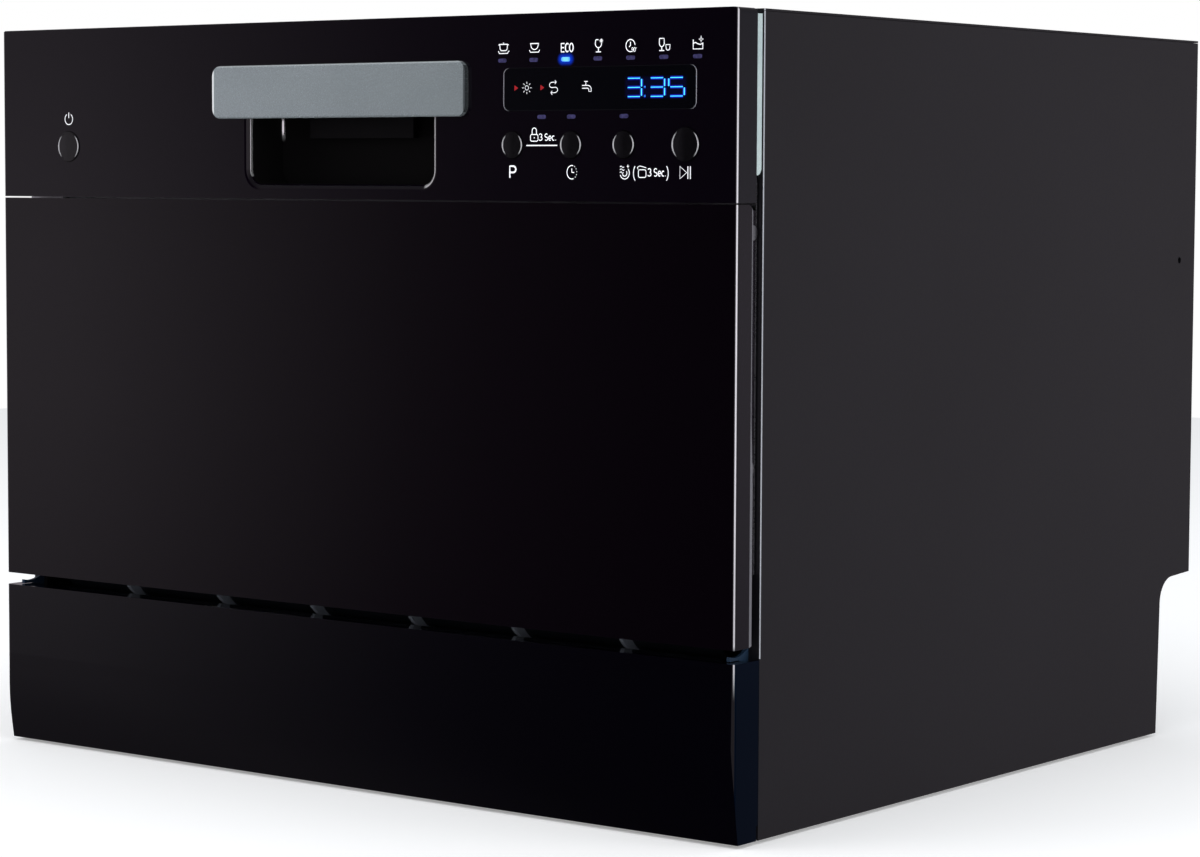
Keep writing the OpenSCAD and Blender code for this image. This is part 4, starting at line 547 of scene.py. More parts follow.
# Screen printing ink: matt and slightly uneven, standing a few hundredths of a millimetre off the gloss.
white_ink, nodes, shader, place = finish("white_screen_ink", "#f4f4f6", 0.55)
ink_speck = add(nodes, "TexNoise", {"Vector": place, "Scale": 1800.0, "Detail": 2.0})
ink_tone = stops(add(nodes, "ValToRGB", [ink_speck]), (0.25, "#ececf0"), (0.6, "#ffffff"))
# painted light: the ink glows faintly of its own, so it shows whiter than plain white does
fill(shader, {"Base Color": ink_tone, "Emission Color": "#f4f6ff", "Emission Strength": 0.42})

PEN = 0.62
legend_lines = []


def mark(x, z, *lines, pen=PEN, closed=False):
    """Adds pen lines to the legends, in mm from a middle point."""
    for points in lines:
        legend_lines.append(([(x + dx, z + dz) for dx, dz in points], closed, pen))


GLYPHS = {
    "E": (0.5, [[(0.5, 0), (0, 0), (0, 1), (0.5, 1)], [(0, 0.5), (0.42, 0.5)]]),
    "C": (0.5, [arc(0.28, 0.5, 0.28, 0.5, 48, 312, 12)]),
    "O": (0.58, [arc(0.28, 0.5, 0.28, 0.5, 0, 360, 16)]),
    "P": (0.6, [[(0, 0), (0, 1)] + arc(0.32, 0.73, 0.27, 0.27, 90, -90, 8) + [(0, 0.46)]]),
    "S": (0.5, [arc(0.25, 0.74, 0.24, 0.26, 35, 270, 9)[:-1] + arc(0.25, 0.24, 0.25, 0.25, 90, -145, 9)]),
    "e": (0.44, [[(0.03, 0.33), (0.44, 0.33)] + arc(0.23, 0.34, 0.22, 0.34, 0, 310, 12)]),
    "c": (0.4, [arc(0.23, 0.34, 0.22, 0.34, 50, 310, 10)]),
    ".": (0.12, [[(0.03, 0.04), (0.11, 0.04)]]),
    "3": (0.54, [arc(0.22, 0.75, 0.26, 0.25, 150, -80, 8) + arc(0.22, 0.26, 0.3, 0.26, 80, -150, 9)]),
    "9": (0.5, [arc(0.24, 0.68, 0.22, 0.3, 0, 360, 12),
                [(0.46, 0.68)] + arc(0.2, 0.4, 0.26, 0.4, 0, -80, 6)]),
    "0": (0.5, [arc(0.24, 0.5, 0.23, 0.5, 0, 360, 14)]),
    "'": (0.12, [[(0.05, 1.0), (0.05, 0.72)]]),
    "(": (0.3, [arc(0.6, 0.4, 0.5, 0.85, 125, 235, 8)]),
    ")": (0.3, [arc(-0.3, 0.4, 0.5, 0.85, 55, -55, 8)]),
}


def lettering(text, x, z, height, pen, squeeze=1.0, gap=0.22):
    """Adds pen drawn letters, from their left foot, in mm."""
    for letter in text:
        if letter == " ":
            x += 0.3 * height * squeeze
            continue
        width, lines = GLYPHS[letter]
        for points in lines:
            placed = [(x + px * height * squeeze, z + pz * height) for px, pz in points]
            legend_lines.append((placed, False, pen))
        x += (width + gap) * height * squeeze


ICON_ROW = 419.4
# pot
mark(119.8, ICON_ROW, [(-3.5, 2.0), (-2.6, 2.4), (2.7, 2.4), (3.6, 2.0)], [(-0.3, 3.1), (0.3, 3.1)],
     [(-2.6, 2.2), (-2.4, -0.2), (-1.7, -1.0), (1.7, -1.0), (2.5, -0.2), (2.7, 2.2)],
     [(-3.6, -1.2), (-2.9, -2.5), (2.8, -2.5), (3.5, -1.4), (4.1, -1.3)])
# bowl on its plate
mark(141.2, ICON_ROW, [(-3.0, 2.4), (3.0, 2.4)],
     [(-2.6, 2.4)] + arc(0, 1.6, 2.5, 2.4, 185, 355, 8) + [(2.6, 2.4)],
     [(-3.5, -1.0), (-2.8, -2.2), (2.8, -2.2), (3.5, -1.0)])
lettering("ECO", 159.4, 417.0, 4.4, 0.85, 1.0, 0.14)
# glass with a sparkle
mark(184.6, ICON_ROW + 0.4, [(-2.0, 3.1), (-2.3, 1.3)] + arc(-0.2, 1.2, 2.1, 2.3, 180, 340, 8) + [(1.9, 1.3)],
     [(-2.0, 3.1), (-0.2, 3.1)], [(-0.2, -1.1), (-0.2, -3.1)], [(-1.9, -3.3), (1.5, -3.3)])
mark(186.3, ICON_ROW + 2.9, [(-1.2, 0), (1.2, 0)], [(0, -1.2), (0, 1.2)], [(-0.8, -0.8), (0.8, 0.8)],
     [(-0.8, 0.8), (0.8, -0.8)], pen=0.38)
# clock with its minutes
mark(205.6, ICON_ROW, arc(0, 0, 3.0, 3.2, 5, 290, 16), [(0.0, 2.0), (0.0, 0.1), (-0.9, -0.7)])
lettering("90'", 206.4, 416.2, 2.2, 0.4, 1.05, 0.1)
# glass and cup
mark(226.0, ICON_ROW,
     [(-1.5, 3.3), (1.5, 3.3), (1.6, 0.9)] + arc(0, 0.9, 1.6, 1.9, 0, -180, 8) + [(-1.5, 3.3)],
     [(0, -1.1), (0, -2.9)], [(-1.6, -3.0), (1.6, -3.0)])
mark(230.0, ICON_ROW, [(-1.4, 0.0), (1.4, 0.0), (1.1, -2.2), (0.5, -2.8), (-0.5, -2.8), (-1.1, -2.2)],
     closed=True)
# basin with a sparkle
mark(249.2, ICON_ROW, [(-3.0, 2.3), (-3.0, -2.6), (3.1, -2.6), (3.1, 0.6)],
     [(-3.0, 0.2), (-1.6, 0.8), (0.0, 0.0), (1.6, -0.3), (3.1, 0.2)])
mark(251.2, ICON_ROW + 2.4,
     [(-1.5, 0.0), (-0.35, 0.4), (0, 1.7), (0.35, 0.4), (1.5, 0.0), (0.35, -0.4), (0, -1.7), (-0.35, -0.4)],
     pen=0.4, closed=True)
# symbols in the window
for turn in range(8):
    c, s = math.cos(turn * math.pi / 4), math.sin(turn * math.pi / 4)
    mark(136.0, 398.2, [(2.2 * c, 2.2 * s), (3.3 * c, 3.3 * s)], pen=0.34)
mark(136.0, 398.2, arc(0, 0, 1.2, 1.2, 0, 360, 12), pen=0.34)
mark(154.3, 398.2, arc(-0.7, 1.3, 2.1, 1.5, 75, 250, 8) + arc(0.6, -1.3, 2.2, 1.5, 70, -105, 8),
     [(-1.0, 2.8), (1.6, 2.8)], [(0.9, 3.8), (1.9, 2.8), (0.9, 1.8)], [(0.7, -2.8), (-1.6, -2.8)],
     [(-0.9, -3.8), (-1.9, -2.8), (-0.9, -1.8)], pen=0.45)
mark(176.6, 398.4, [(-3.0, 0.6), (0.6, 0.6)] + arc(0.6, -1.4, 2.5, 2.0, 90, 0, 6) + [(3.1, -2.6), (1.5, -2.6)]
     + arc(0.5, -1.9, 1.0, 1.0, 0, 90, 4) + [(-3.0, -0.9)],
     [(-0.5, 0.8), (-0.5, 2.6)], [(-1.7, 2.7), (0.8, 2.7)], pen=0.5)
# below the buttons
lettering("P", 124.4, 349.9, 6.3, 1.0, 1.12)
mark(166.9, 353.0, arc(0, 0, 3.3, 3.6, 75, 290, 16), [(0.0, 2.0), (0.0, -0.1), (1.6, -0.1)], pen=0.6)
for turn in (315, 340, 5, 30, 55):
    c, s = math.cos(math.radians(turn)), math.sin(math.radians(turn))
    mark(166.9, 353.0, [(3.1 * c, 3.4 * s), (3.6 * c, 3.9 * s)], pen=0.55)
for row, (left, right) in enumerate(((-3.4, -0.6), (-3.4, -0.3), (-3.4, -0.9))):
    z = 2.9 - 1.5 * row
    mark(202.4, 353.0, [(left, z), (left + 0.9, z + 0.5), (right - 0.9, z - 0.4), (right, z)], pen=0.5)
mark(202.4, 353.0, arc(-0.2, -0.3, 3.1, 3.2, 200, 400, 12), arc(-0.2, -0.4, 1.5, 1.6, 200, 400, 8), pen=0.6)
mark(204.3, 356.2, [(-0.8, 0), (0.8, 0)], [(0, -0.9), (0, 0.9)], pen=0.4)
lettering("(", 207.4, 350.4, 5.4, 0.6)
mark(213.6, 353.0, rounded(-2.4, 2.6, -2.6, 1.4, 0.9, 3), pen=0.55, closed=True)
mark(213.6, 353.0, [(-2.6, 1.6), (-3.1, 2.6), (-1.6, 3.4), (0.6, 3.0), (2.8, 2.4)], pen=0.5)
lettering("3 Sec.", 217.5, 351.1, 3.9, 0.68, 1.0, 0.17)
lettering(")", 229.6, 350.4, 5.4, 0.6)
mark(240.6, 353.0, [(-2.4, 3.2), (2.0, 0.0), (-2.4, -3.2)], pen=0.6, closed=True)
mark(244.1, 353.0, [(-0.8, 3.3), (-0.8, -3.3)], [(0.8, 3.3), (0.8, -3.3)], pen=0.6)
# lock over its line
mark(141.2, 371.6, rounded(-2.6, 2.6, -2.0, 1.6, 0.9, 3), pen=0.6, closed=True)
mark(141.2, 371.6, [(-1.5, 1.6), (-1.5, 3.6)] + arc(0, 3.6, 1.5, 1.5, 180, 0, 6) + [(1.5, 1.6)],
     [(0, -0.5), (0, 0.1)], pen=0.6)
lettering("3 Sec.", 144.6, 370.0, 3.5, 0.65, 1.1, 0.17)
mark(146.4, 367.3, [(-10.6, 0), (10.6, 0)], pen=0.75)
# on and off
mark(-217.4, 384.0, arc(0, 0, 3.3, 3.3, 122, 418, 18), [(0, 0.6), (0, 4.0)], pen=0.6)
printed("panel_legends", legend_lines, white_ink, 0.00004)

# Red marks: a small filled arrowhead in front of each refill symbol, lit from behind.
refill_red, nodes, shader, place = finish("lit_refill_marks", "#7a0812", 0.5)
fill(shader, {"Emission Color": "#a80f1a", "Emission Strength": 0.6})
for number, x in enumerate((0.1283, 0.1462)):
    arrow_mesh = bmesh.new()
    bmesh.ops.create_circle(arrow_mesh, cap_ends=True, segments=3, radius=0.0017)
    bmesh.ops.solidify(arrow_mesh, geom=arrow_mesh.faces[:], thickness=0.00006)
    arrow_mesh.transform(Matrix.Translation((x, FRONT, 0.3982)) @ Matrix.Rotation(math.radians(90), 4, "X")
                         @ Matrix.Rotation(math.radians(-90), 4, "Z"))
    bmesh.ops.recalc_face_normals(arrow_mesh, faces=arrow_mesh.faces[:])
    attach(solid(f"refill_mark_{number}", arrow_mesh, refill_red), "door")

# ---------------------------------------------------------------- indicator lamps
# Ten small light guides of tinted acrylic, pushed through the fascia from behind. The one under ECO
# is lit and spreads a blue glow. The others look purple grey.

# Tinted acrylic: milky and slightly purple while dark. The lit one is clear blue with a pale heart.
LIT_LENS_X, LIT_LENS_HALF, LENS_ROW_Z = 0.16232, 0.0045, 0.4
lens_tint, nodes, shader, place = finish("tinted_light_guides", "#45416b", 0.25, specular_ior_level=0.5)
at = add(nodes, "SeparateXYZ", [place])
aside = add(nodes, "Math", [at.outputs[0], LIT_LENS_X], operation="SUBTRACT")
aside = add(nodes, "Math", [aside], operation="ABSOLUTE")
lit_column = add(nodes, "Math", [aside, LIT_LENS_HALF], operation="LESS_THAN")
upper_row = add(nodes, "Math", [at.outputs[2], LENS_ROW_Z], operation="GREATER_THAN")
lit_lens = add(nodes, "Math", [lit_column, upper_row], operation="MULTIPLY")
heart = add(nodes, "MapRange", {"Value": aside, "From Min": 0.0034, "From Max": 0.0012})
heart_tone = add(nodes, "Mix", {0: heart, 6: "#1f7dff", 7: "#6ccbff"}, data_type="RGBA")
milk = add(nodes, "TexNoise", {"Vector": place, "Scale": 700.0, "Detail": 2.0})
fill(shader, {
    "Base Color": stops(add(nodes, "ValToRGB", [milk]), (0.3, "#2f2b52"), (0.7, "#4a4676")),
    "Emission Color": add(nodes, "Mix", {0: lit_lens, 6: "#000000", 7: heart_tone}, data_type="RGBA"),
    "Emission Strength": 1.3})
paint(lens_tint, "indicator_lenses")

# ---------------------------------------------------------------- buttons
# Five domed ABS caps, the power and start buttons larger. Each carries a turned ring on its rim, painted
# with two bright highlight crescents, left and right.

RING_WIRE, RING_INSET, RING_FLATNESS, RING_THINNEST = 0.00048, 0.0018, 0.5, 0.35

for button in ("power_button", "program_button", "delay_button", "dry_button", "start_button"):
    low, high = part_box(button)
    middle_x, middle_z = (low.x + high.x) / 2, (low.z + high.z) / 2
    ring_radius = (high.x - low.x) / 2 - RING_INSET

    # Domed cap: gloss black, with a paler painted sheen on its left shoulder where the dome turns towards the
    # light.
    cap_black, nodes, shader, place = finish("piano_black_abs_" + button, "#070709", 0.12,
                                             specular_ior_level=0.5)
    at = add(nodes, "SeparateXYZ", [place])
    painted_shoulder_sheen = add(nodes, "MapRange", {
        "Value": at.outputs[0], "From Min": middle_x + 0.1 * ring_radius,
        "From Max": middle_x - 0.75 * ring_radius}, interpolation_type="SMOOTHSTEP")
    cap_dust = add(nodes, "TexNoise", {"Vector": place, "Scale": 400.0, "Detail": 3.0})
    fill(shader, {
        "Base Color": add(nodes, "Mix", {0: painted_shoulder_sheen, 6: "#040306", 7: "#151317"}, data_type="RGBA"),
        "Roughness": add(nodes, "MapRange", {"Value": cap_dust, "To Min": 0.1, "To Max": 0.25})})
    paint(cap_black, button)

    # Ring: nickel with painted highlights where it faces sideways, painted dark where it faces up or down.
    ring_nickel, nodes, shader, place = finish("painted_highlight_ring_" + button, "#101013", 0.16, metallic=0.6)
    at = add(nodes, "SeparateXYZ", [place])
    aside = add(nodes, "Math", [at.outputs[0], middle_x], operation="SUBTRACT")
    aside = add(nodes, "Math", [aside], operation="ABSOLUTE")
    painted_side_highlights = add(nodes, "MapRange", {
        "Value": aside, "From Min": 0.6 * ring_radius, "From Max": 0.85 * ring_radius},
        interpolation_type="SMOOTHSTEP")
    fill(shader, {"Base Color": add(nodes, "Mix", {0: painted_side_highlights, 6: "#08080a", 7: "#f2f3f5"}, data_type="RGBA")})
    ring_mesh = bmesh.new()
    section = bmesh.ops.create_circle(ring_mesh, segments=10, radius=RING_WIRE)["verts"]
    bmesh.ops.translate(ring_mesh, verts=section, vec=(ring_radius, 0.0, 0.0))
    bmesh.ops.rotate(ring_mesh, verts=section, cent=(ring_radius, 0.0, 0.0),
                     matrix=Matrix.Rotation(math.radians(90), 3, "X"))
    bmesh.ops.spin(ring_mesh, geom=ring_mesh.verts[:] + ring_mesh.edges[:], cent=(0, 0, 0), axis=(0, 0, 1),
                   angle=math.tau, steps=64, use_merge=True)
    bmesh.ops.remove_doubles(ring_mesh, verts=ring_mesh.verts[:], dist=0.000001)
    bmesh.ops.recalc_face_normals(ring_mesh, faces=ring_mesh.faces[:])
    for vertex in ring_mesh.verts:
        # the turned ring is thickest left and right and thins out towards the top and bottom
        around = math.atan2(vertex.co.y, vertex.co.x)
        core = Vector((ring_radius * math.cos(around), ring_radius * math.sin(around), 0.0))
        vertex.co = core + (vertex.co - core) * (
            RING_THINNEST + (1 - RING_THINNEST) * math.cos(around) ** 2)
    ring_mesh.transform(Matrix.Translation((middle_x, low.y + 0.0001, middle_z))
                        @ Matrix.Diagonal((1.0, RING_FLATNESS, 1.0, 1.0))
                        @ Matrix.Rotation(math.radians(90), 4, "X"))
    for face in ring_mesh.faces:
        face.smooth = True
    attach(solid(button + "_ring", ring_mesh, ring_nickel), button)

# ---------------------------------------------------------------- grip bar and release paddle
# The bar is moulded in ABS and lacquered silver. It hides the top of the finger recess and the dark
# grey paddle that releases the door.

# Silver lacquer: fine metal flakes in a satin clear coat, which the eye sees as an even soft sheen.
# It carries painted highlight lines on its left and top edges and on its right end, whose face is painted
# darker as shade.
lacquer, nodes, shader, place = finish("silver_lacquered_abs", "#c4cfd3", 0.26, metallic=0.7)
flake = add(nodes, "TexVoronoi", {"Vector": place, "Scale": 2600.0}, feature="F1")
cloud = add(nodes, "TexNoise", {"Vector": place, "Scale": 30.0, "Detail": 2.0})
flake_share = add(nodes, "Math", {0: flake.outputs["Distance"], 1: cloud}, operation="MULTIPLY")
silver_tone = stops(add(nodes, "ValToRGB", [flake_share]), (0.1, "#c8d4d8"), (0.5, "#bdc9cd"))
bar_low, bar_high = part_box("handle_bar")
at = add(nodes, "SeparateXYZ", [place])
# painted highlight lines on the left and top edges and the right end, painted shade on the end face
end_face = add(nodes, "Math", [at.outputs[0], bar_high.x - 0.0012], operation="GREATER_THAN")
end_highlight_lines = add(nodes, "Math", [band(nodes, at.outputs[1], bar_low.y + 0.0034, 0.0002, 0.0006),
                               band(nodes, at.outputs[1], bar_low.y + 0.0056, 0.0004, 0.0008)],
               operation="MAXIMUM")
end_highlight_lines = add(nodes, "Math", [end_face, end_highlight_lines], operation="MULTIPLY")
left_edge_highlight = band(nodes, at.outputs[0], bar_low.x + 0.0004, 0.0004, 0.0013)
top_edge_highlight = add(nodes, "Math", [band(nodes, at.outputs[2], bar_high.z, 0.0004, 0.0011), 0.3],
               operation="MULTIPLY")
painted_bar_highlights = add(nodes, "Math", [left_edge_highlight, end_highlight_lines], operation="MAXIMUM")
painted_bar_highlights = add(nodes, "Math", [painted_bar_highlights, top_edge_highlight], operation="MAXIMUM")
end_shade = add(nodes, "Math", [end_face, 0.75], operation="MULTIPLY")
bar_tone = add(nodes, "Mix", {0: end_shade, 6: silver_tone, 7: "#3c4246"}, data_type="RGBA")
fill(shader, {
    "Base Color": add(nodes, "Mix", {0: painted_bar_highlights, 6: bar_tone, 7: "#ffffff"}, data_type="RGBA"),
    "Metallic": add(nodes, "MapRange", {"Value": painted_bar_highlights, "To Min": 0.7, "To Max": 0.0}),
    "Roughness": add(nodes, "MapRange", {"Value": flake, "To Min": 0.22, "To Max": 0.3})})
bump(nodes, shader, flake, 0.05, 0.00003)
paint(lacquer, "handle_bar")

# Unpainted ABS with a fine spark eroded grain, which breaks up the light on it.
charcoal_abs, nodes, shader, place = finish("grained_charcoal_abs", "#030205", 0.5, specular_ior_level=0.22)
spark = add(nodes, "TexNoise", {"Vector": place, "Scale": 1200.0, "Detail": 3.0})
bump(nodes, shader, spark, 0.4, 0.00008)
spark_sheen = add(nodes, "MapRange", {"Value": spark, "To Min": 0.4, "To Max": 0.6})
fill(shader, {"Roughness": spark_sheen})
paint(charcoal_abs, "latch_lever")

# ---------------------------------------------------------------- control housing
# The housing behind the fascia, moulded in pale grey green ABS without paint. Its edge shows as a
# bright strip between the fascia and the cabinet, and it carries the latch and the control board.

# Pale ABS: even and slightly glossy, with the faint mottle of a moulded back side.
pale_abs, nodes, shader, place = finish("pale_moulded_abs", "#c4d6d6", 0.38)
flow = add(nodes, "TexNoise", {"Vector": place, "Scale": 45.0, "Detail": 3.0})
mottle(nodes, shader, flow, (0.35, "#c2d6d8"), (0.65, "#d0e0e0"), 0.3, 0.46)
paint(pale_abs, "control_housing")

# Circuit board: green solder mask over copper tracks, which show as slightly raised paler lines.
solder_mask, nodes, shader, place = finish("solder_mask_board", "#1c5430", 0.3)
track_place = add(nodes, "Mapping", {"Vector": place, "Scale": (260.0, 260.0, 260.0)})
tracks = add(nodes, "TexBrick", {"Vector": track_place, "Color1": "#1c5430", "Color2": "#1a4d2c",
                                 "Mortar": "#3c8150", "Scale": 1.0, "Mortar Size": 0.06, "Brick Width": 1.6,
                                 "Row Height": 0.5})
bump(nodes, shader, tracks.outputs["Fac"], 0.3, 0.00004)
board_sheen = add(nodes, "MapRange", {"Value": tracks.outputs["Fac"], "To Min": 0.24, "To Max": 0.4})
fill(shader, {"Base Color": tracks.outputs["Color"], "Roughness": board_sheen})
paint(solder_mask, "control_board")

# ---------------------------------------------------------------- tub and door liner
# Deep drawn stainless sheet with a satin brushed finish, joined to the frame by its folded flange.
# The liner's folded side shows beside the door panel, painted dark as shade, with a painted highlight along
# its thin edge.


def brushed(name, colour, low_rough, high_rough, along=(6.0, 500.0, 500.0)):
    """Stainless sheet with fine brush marks along one direction and faint water marks."""
    material, nodes, shader, place = finish(name, colour, low_rough, metallic=1.0)
    drawn = add(nodes, "Mapping", {"Vector": place, "Scale": along})
    strokes = add(nodes, "TexNoise", {"Vector": drawn, "Scale": 1.0, "Detail": 3.0})
    marks = add(nodes, "TexNoise", {"Vector": place, "Scale": 12.0, "Detail": 4.0, "Roughness": 0.65})
    share = add(nodes, "Math", {0: add(nodes, "Math", [strokes, 0.7], operation="MULTIPLY"),
                                1: add(nodes, "Math", [marks, 0.3], operation="MULTIPLY")},
                operation="ADD")
    rough = add(nodes, "MapRange", {"Value": share, "From Min": 0.3, "From Max": 0.7, "To Min": low_rough,
                                    "To Max": high_rough})
    fill(shader, {"Roughness": rough})
    bump(nodes, shader, strokes, 0.12, 0.00003)
    return material, nodes, shader, place, share


# Tub steel: satin, brushed across the width, and clouded a little by water marks.
tub_steel, nodes, shader, place, share = brushed("brushed_tub_steel", "#b9bcbf", 0.2, 0.36)
steel_tone = stops(add(nodes, "ValToRGB", [share]), (0.35, "#aeb1b4"), (0.65, "#c3c6c9"))
fill(shader, {"Base Color": steel_tone})
paint(tub_steel, "tub", "rack_rails")

# Liner steel: the same sheet, with painted shade on its folded side and a painted highlight along its cut
# edge.
liner_steel, nodes, shader, place, share = brushed("brushed_liner_steel", "#b9bcbf", 0.2, 0.36)
at = add(nodes, "SeparateXYZ", [place])
side = add(nodes, "Math", [at.outputs[0]], operation="ABSOLUTE")
on_fold = add(nodes, "Math", {0: add(nodes, "Math", [side, 0.2708], operation="GREATER_THAN"),
                              1: add(nodes, "Math", [at.outputs[1], FRONT + 0.0216],
                                     operation="LESS_THAN")}, operation="MULTIPLY")
fold_highlight_line = band(nodes, at.outputs[1], FRONT + 0.0212, 0.0003, 0.0007)
steel_tone = stops(add(nodes, "ValToRGB", [share]), (0.35, "#aeb1b4"), (0.65, "#c3c6c9"))
# painted shade on the folded side, with a painted highlight line along its cut edge
fold_shade_and_highlight = add(nodes, "Mix", {0: fold_highlight_line, 6: "#5d5a63", 7: "#e6e8ec"}, data_type="RGBA")
fill(shader, {"Base Color": add(nodes, "Mix", {0: on_fold, 6: steel_tone, 7: fold_shade_and_highlight}, data_type="RGBA")})
paint(liner_steel, "door_liner")

# ---------------------------------------------------------------- base, gland and drain spigot
# The base tray is injection moulded in black polypropylene and carries the feet, the pumps and the
# rear connections. The spigot and the cable gland are moulded in the same plastic.


def moulded(name, first, second, low_rough, high_rough, scale=40.0, grain=700.0, grain_depth=0.00004):
    """Moulded plastic: two close tones, a slow change of sheen, and a fine eroded grain."""
    material, nodes, shader, place = finish(name, first, low_rough)
    flow = add(nodes, "TexNoise", {"Vector": place, "Scale": scale, "Detail": 3.0})
    tone = stops(add(nodes, "ValToRGB", [flow]), (0.35, first), (0.65, second))
    fine = add(nodes, "TexNoise", {"Vector": place, "Scale": grain, "Detail": 2.0})
    rough = add(nodes, "MapRange", {"Value": fine, "To Min": low_rough, "To Max": high_rough})
    fill(shader, {"Base Color": tone, "Roughness": rough})
    bump(nodes, shader, fine, 0.3, grain_depth)
    return material, nodes, shader, place, tone


# Black polypropylene: waxy, never quite black, with a fine leathery grain.
black_pp = moulded("black_polypropylene", "#121314", "#1a1b1d", 0.42, 0.6)[0]
paint(black_pp, "base_frame", "cable_gland", "drain_spigot")

# ---------------------------------------------------------------- splash guard
# A ribbed gutter under the door, moulded in blue grey polypropylene. Its ribs and end plates, in the gap
# above the plinth, are painted pale as lit, and its shell is painted dark as their shade.

RIB_PITCH, RIB_HALF, END_PLATE_X = 0.075, 0.0013, 0.262

# Blue grey polypropylene: the ribs and end plates painted pale as lit, the gutter behind painted dark as
# shade.
guard_pp, nodes, shader, place, tone = moulded("blue_grey_polypropylene", "#39424e", "#454f5c", 0.36, 0.5)
at = add(nodes, "SeparateXYZ", [place])
rib_turn = add(nodes, "Math", {0: add(nodes, "Math", [at.outputs[0], RIB_PITCH * 0.5],
                                      operation="ADD"), 1: RIB_PITCH * 0.5}, operation="PINGPONG")
on_rib = add(nodes, "Math", [rib_turn, RIB_HALF], operation="LESS_THAN")
on_end = add(nodes, "Math", {0: add(nodes, "Math", [at.outputs[0]], operation="ABSOLUTE"),
                             1: END_PLATE_X}, operation="GREATER_THAN")
# painted light on the ribs and end plates, painted shade on the shell between them
rib_light_and_gutter_shade = add(nodes, "Mix", {0: on_rib, 6: "#14151b", 7: "#c6ccda"}, data_type="RGBA")
rib_light_and_gutter_shade = add(nodes, "Mix", {0: on_end, 6: rib_light_and_gutter_shade, 7: "#24405c"}, data_type="RGBA")
shade = add(nodes, "Mix", {0: 0.15, 6: rib_light_and_gutter_shade, 7: tone}, data_type="RGBA")
fill(shader, {"Base Color": shade})
paint(guard_pp, "splash_guard")

# ---------------------------------------------------------------- rubber parts
# Feet, tub gasket and lower door seal, all cut or moulded from black EPDM rubber. The gasket is a
# soft bulb profile pressed into the tub's flange, and the feet are pushed into the base.

# EPDM rubber: matt charcoal with a grey bloom of talc in patches.
epdm, nodes, shader, place = finish("black_epdm_rubber", "#131315", 0.75)
bloom = add(nodes, "TexNoise", {"Vector": place, "Scale": 90.0, "Detail": 4.0, "Roughness": 0.7})
mottle(nodes, shader, bloom, (0.45, "#111113"), (0.75, "#26272a"), 0.6, 0.9)
bump(nodes, shader, bloom, 0.2, 0.0001)
paint(epdm, "feet", "tub_gasket", "lower_door_seal")

# ---------------------------------------------------------------- wash system
# Spray arm, filter, sump, pumps and detergent dispenser, moulded in grey polypropylene that hot water
# and detergent slowly bleach. The filter cup is a fine mesh welded into a plastic cage.

# Grey polypropylene: satin, with paler clouds where it has bleached.
grey_pp = moulded("grey_polypropylene", "#7f8488", "#969b9f", 0.36, 0.52, scale=25.0)[0]
paint(grey_pp, "spray_arm", "sump", "drain_pump", "dispenser_body", "dispenser_lid")

# Filled polypropylene of the pump: darker, speckled with short glass fibres.
filled_pp, nodes, shader, place, tone = moulded("glass_filled_polypropylene", "#46494c", "#515457", 0.45,
                                                0.62)
fibres = add(nodes, "TexVoronoi", {"Vector": place, "Scale": 900.0}, feature="F1")
fibre_share = add(nodes, "MapRange", {"Value": fibres.outputs["Distance"], "From Min": 0.16,
                                      "From Max": 0.08})
fill(shader, {"Base Color": add(nodes, "Mix", {0: fibre_share, 6: tone, 7: "#8b8f92"}, data_type="RGBA")})
paint(filled_pp, "wash_pump")

# Filter mesh: stainless with rows of 1 mm holes, painted dark in the holes as the shade seen through them.
filter_mesh, nodes, shader, place = finish("perforated_filter_steel", "#8e9296", 0.32, metallic=0.8)
hole_rows = add(nodes, "TexVoronoi", {"Vector": place, "Scale": 620.0, "Randomness": 0.0}, feature="F1")
holes = add(nodes, "MapRange", {"Value": hole_rows.outputs["Distance"], "From Min": 0.34, "From Max": 0.26})
mesh_sheen = add(nodes, "MapRange", {"Value": holes, "To Min": 0.28, "To Max": 0.7})
fill(shader, {"Base Color": add(nodes, "Mix", {0: holes, 6: "#9ca0a4", 7: "#1b1c1e"}, data_type="RGBA"),
              "Roughness": mesh_sheen})
bump(nodes, shader, add(nodes, "Math", [1.0, holes], operation="SUBTRACT"), 0.5, 0.0002)
paint(filter_mesh, "filter_plate", "filter_cup")

# ---------------------------------------------------------------- salt system, valve and small white parts
# The softener tank with its screw cap, the inlet valve, the air breather and the rollers, all in
# natural polypropylene or acetal, and the leak float in white foam.

# Natural polypropylene: milky white, a little warm, glossy where the mould was polished.
milky_pp, nodes, shader, place, tone = moulded("natural_polypropylene", "#d7d8d3", "#e3e3df", 0.28, 0.44,
                                               scale=18.0)
fill(shader, {"Subsurface Weight": 0.15, "Subsurface Radius": (0.004, 0.004, 0.003)})
paint(milky_pp, "softener", "salt_cap", "inlet_valve", "air_breather", "rollers_front", "rollers_rear")

# Foam float: closed cells that pit the skin.
float_foam, nodes, shader, place = finish("expanded_float_foam", "#e6e6e2", 0.8)
cells = add(nodes, "TexVoronoi", {"Vector": place, "Scale": 420.0}, feature="DISTANCE_TO_EDGE")
cell_tone = stops(add(nodes, "ValToRGB", [cells.outputs["Distance"]]), (0.0, "#c9c9c4"),
                  (0.25, "#eeeeea"))
fill(shader, {"Base Color": cell_tone})
bump(nodes, shader, cells.outputs["Distance"], 0.6, 0.0003)
paint(float_foam, "leak_float")

# ---------------------------------------------------------------- rack, shelf and cutlery basket
# The rack is welded steel wire dipped in nylon, with tines for plates in the same coat. The folding
# cup shelf and the cutlery basket are moulded in grey polypropylene and lift out.

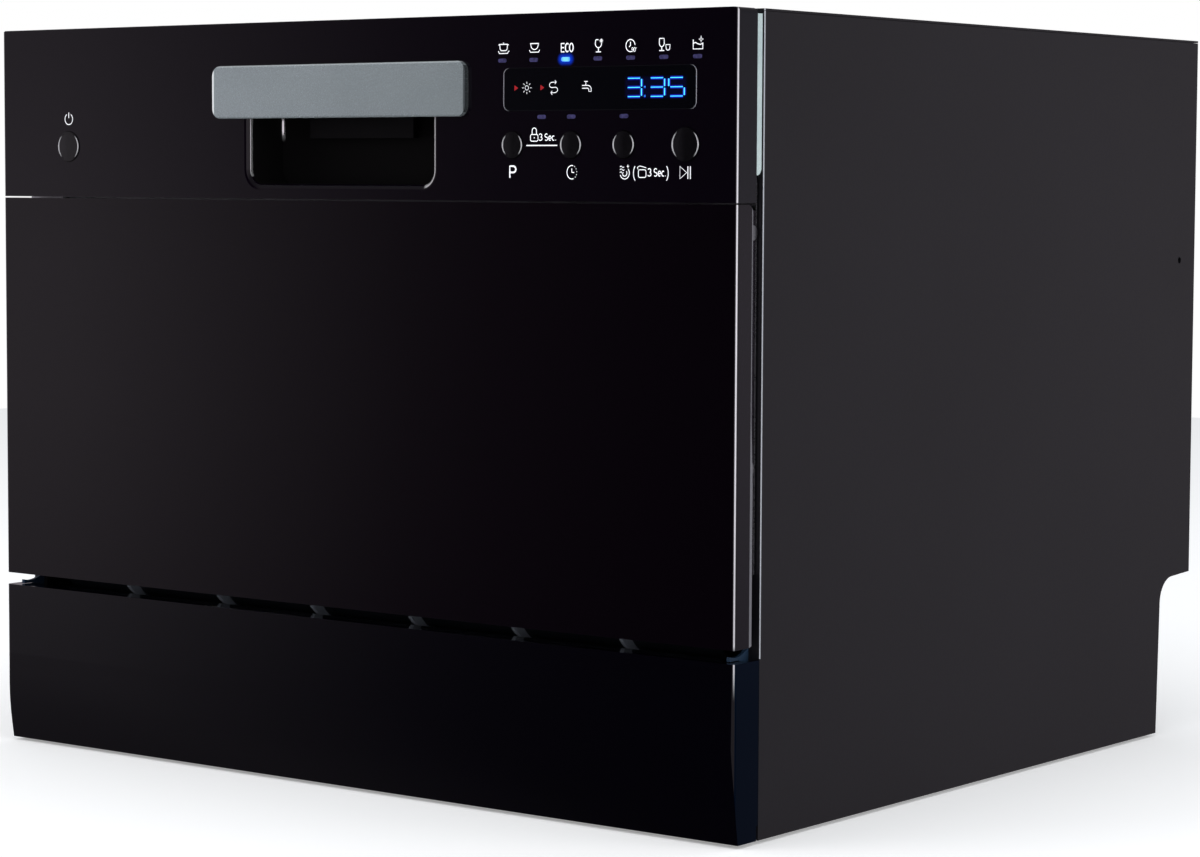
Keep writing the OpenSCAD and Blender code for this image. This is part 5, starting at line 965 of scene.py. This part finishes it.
# Nylon coat: a thick satin skin over the wire, a little uneven where it ran before it set.
nylon, nodes, shader, place = finish("nylon_coated_wire", "#d3d6d8", 0.3, specular_ior_level=0.5)
runs = add(nodes, "TexNoise", {"Vector": place, "Scale": 160.0, "Detail": 2.0})
mottle(nodes, shader, runs, (0.3, "#cdd0d3"), (0.7, "#dfe2e4"), 0.22, 0.38)
bump(nodes, shader, runs, 0.4, 0.0003)
paint(nylon, "rack_basket", "plate_tines")

# Basket plastic: cool grey, with a coarser grain than the other mouldings.
basket_pp = moulded("grey_basket_polypropylene", "#8d949a", "#9ca3a9", 0.4, 0.58, scale=30.0, grain=450.0,
                    grain_depth=0.00008)[0]
paint(basket_pp, "cup_shelf", "cutlery_basket")

# Blue cap of the rinse aid well: translucent blue plastic with a soft gloss.
blue_cap, nodes, shader, place, tone = moulded("blue_cap_polypropylene", "#2a5796", "#3567ab", 0.25, 0.4,
                                               scale=60.0)
fill(shader, {"Subsurface Weight": 0.1, "Subsurface Radius": (0.002, 0.002, 0.004)})
paint(blue_cap, "rinse_aid_cap")

# ---------------------------------------------------------------- door springs
# A torsion spring of hardened wire on each hinge pin balances the door. Each piece stands for the
# wound solid of its side, with the same three turns and the same wire, drawn round and with ground ends.

HINGE_Y, HINGE_Z = FRONT + 0.011, 0.117
SPRING_X, SPRING_TURNS, SPRING_PITCH, SPRING_COIL, SPRING_WIRE = 0.26085, 3, 0.0015, 0.0052, 0.00055
SPRING_STEPS, SPRING_SIDES = 40, 12

# Spring wire: oil tempered, dark grey with a faint blue brown tint and lengthwise draw marks.
tempered, nodes, shader, place = finish("oil_tempered_wire", "#6d6f72", 0.3, metallic=1.0)
draw_marks = add(nodes, "TexNoise", {"Vector": place, "Scale": 1500.0, "Detail": 2.0})
mottle(nodes, shader, draw_marks, (0.3, "#5c5e66"), (0.7, "#7c7a76"), 0.22, 0.42)

for side_name, side_sign in (("left", -1), ("right", 1)):
    coil_mesh = bmesh.new()
    bmesh.ops.create_circle(coil_mesh, segments=SPRING_SIDES, radius=SPRING_WIRE)
    coil_mesh.transform(Matrix.Translation((SPRING_X, HINGE_Y + SPRING_COIL, HINGE_Z)))
    bmesh.ops.spin(coil_mesh, geom=coil_mesh.verts[:] + coil_mesh.edges[:], cent=(SPRING_X, HINGE_Y, HINGE_Z),
                   axis=(1, 0, 0), dvec=(SPRING_PITCH / SPRING_STEPS, 0.0, 0.0),
                   angle=math.tau * SPRING_TURNS, steps=SPRING_TURNS * SPRING_STEPS)
    bmesh.ops.holes_fill(coil_mesh, edges=coil_mesh.edges[:], sides=SPRING_SIDES)
    coil_mesh.transform(Matrix.Diagonal((side_sign, 1.0, 1.0, 1.0)))
    bmesh.ops.recalc_face_normals(coil_mesh, faces=coil_mesh.faces[:])
    for face in coil_mesh.faces:
        face.smooth = len(face.verts) == 4
    coil = solid("door_spring_" + side_name, coil_mesh, tempered)
    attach(coil, "door")
    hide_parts("door_springs")

low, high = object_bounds()
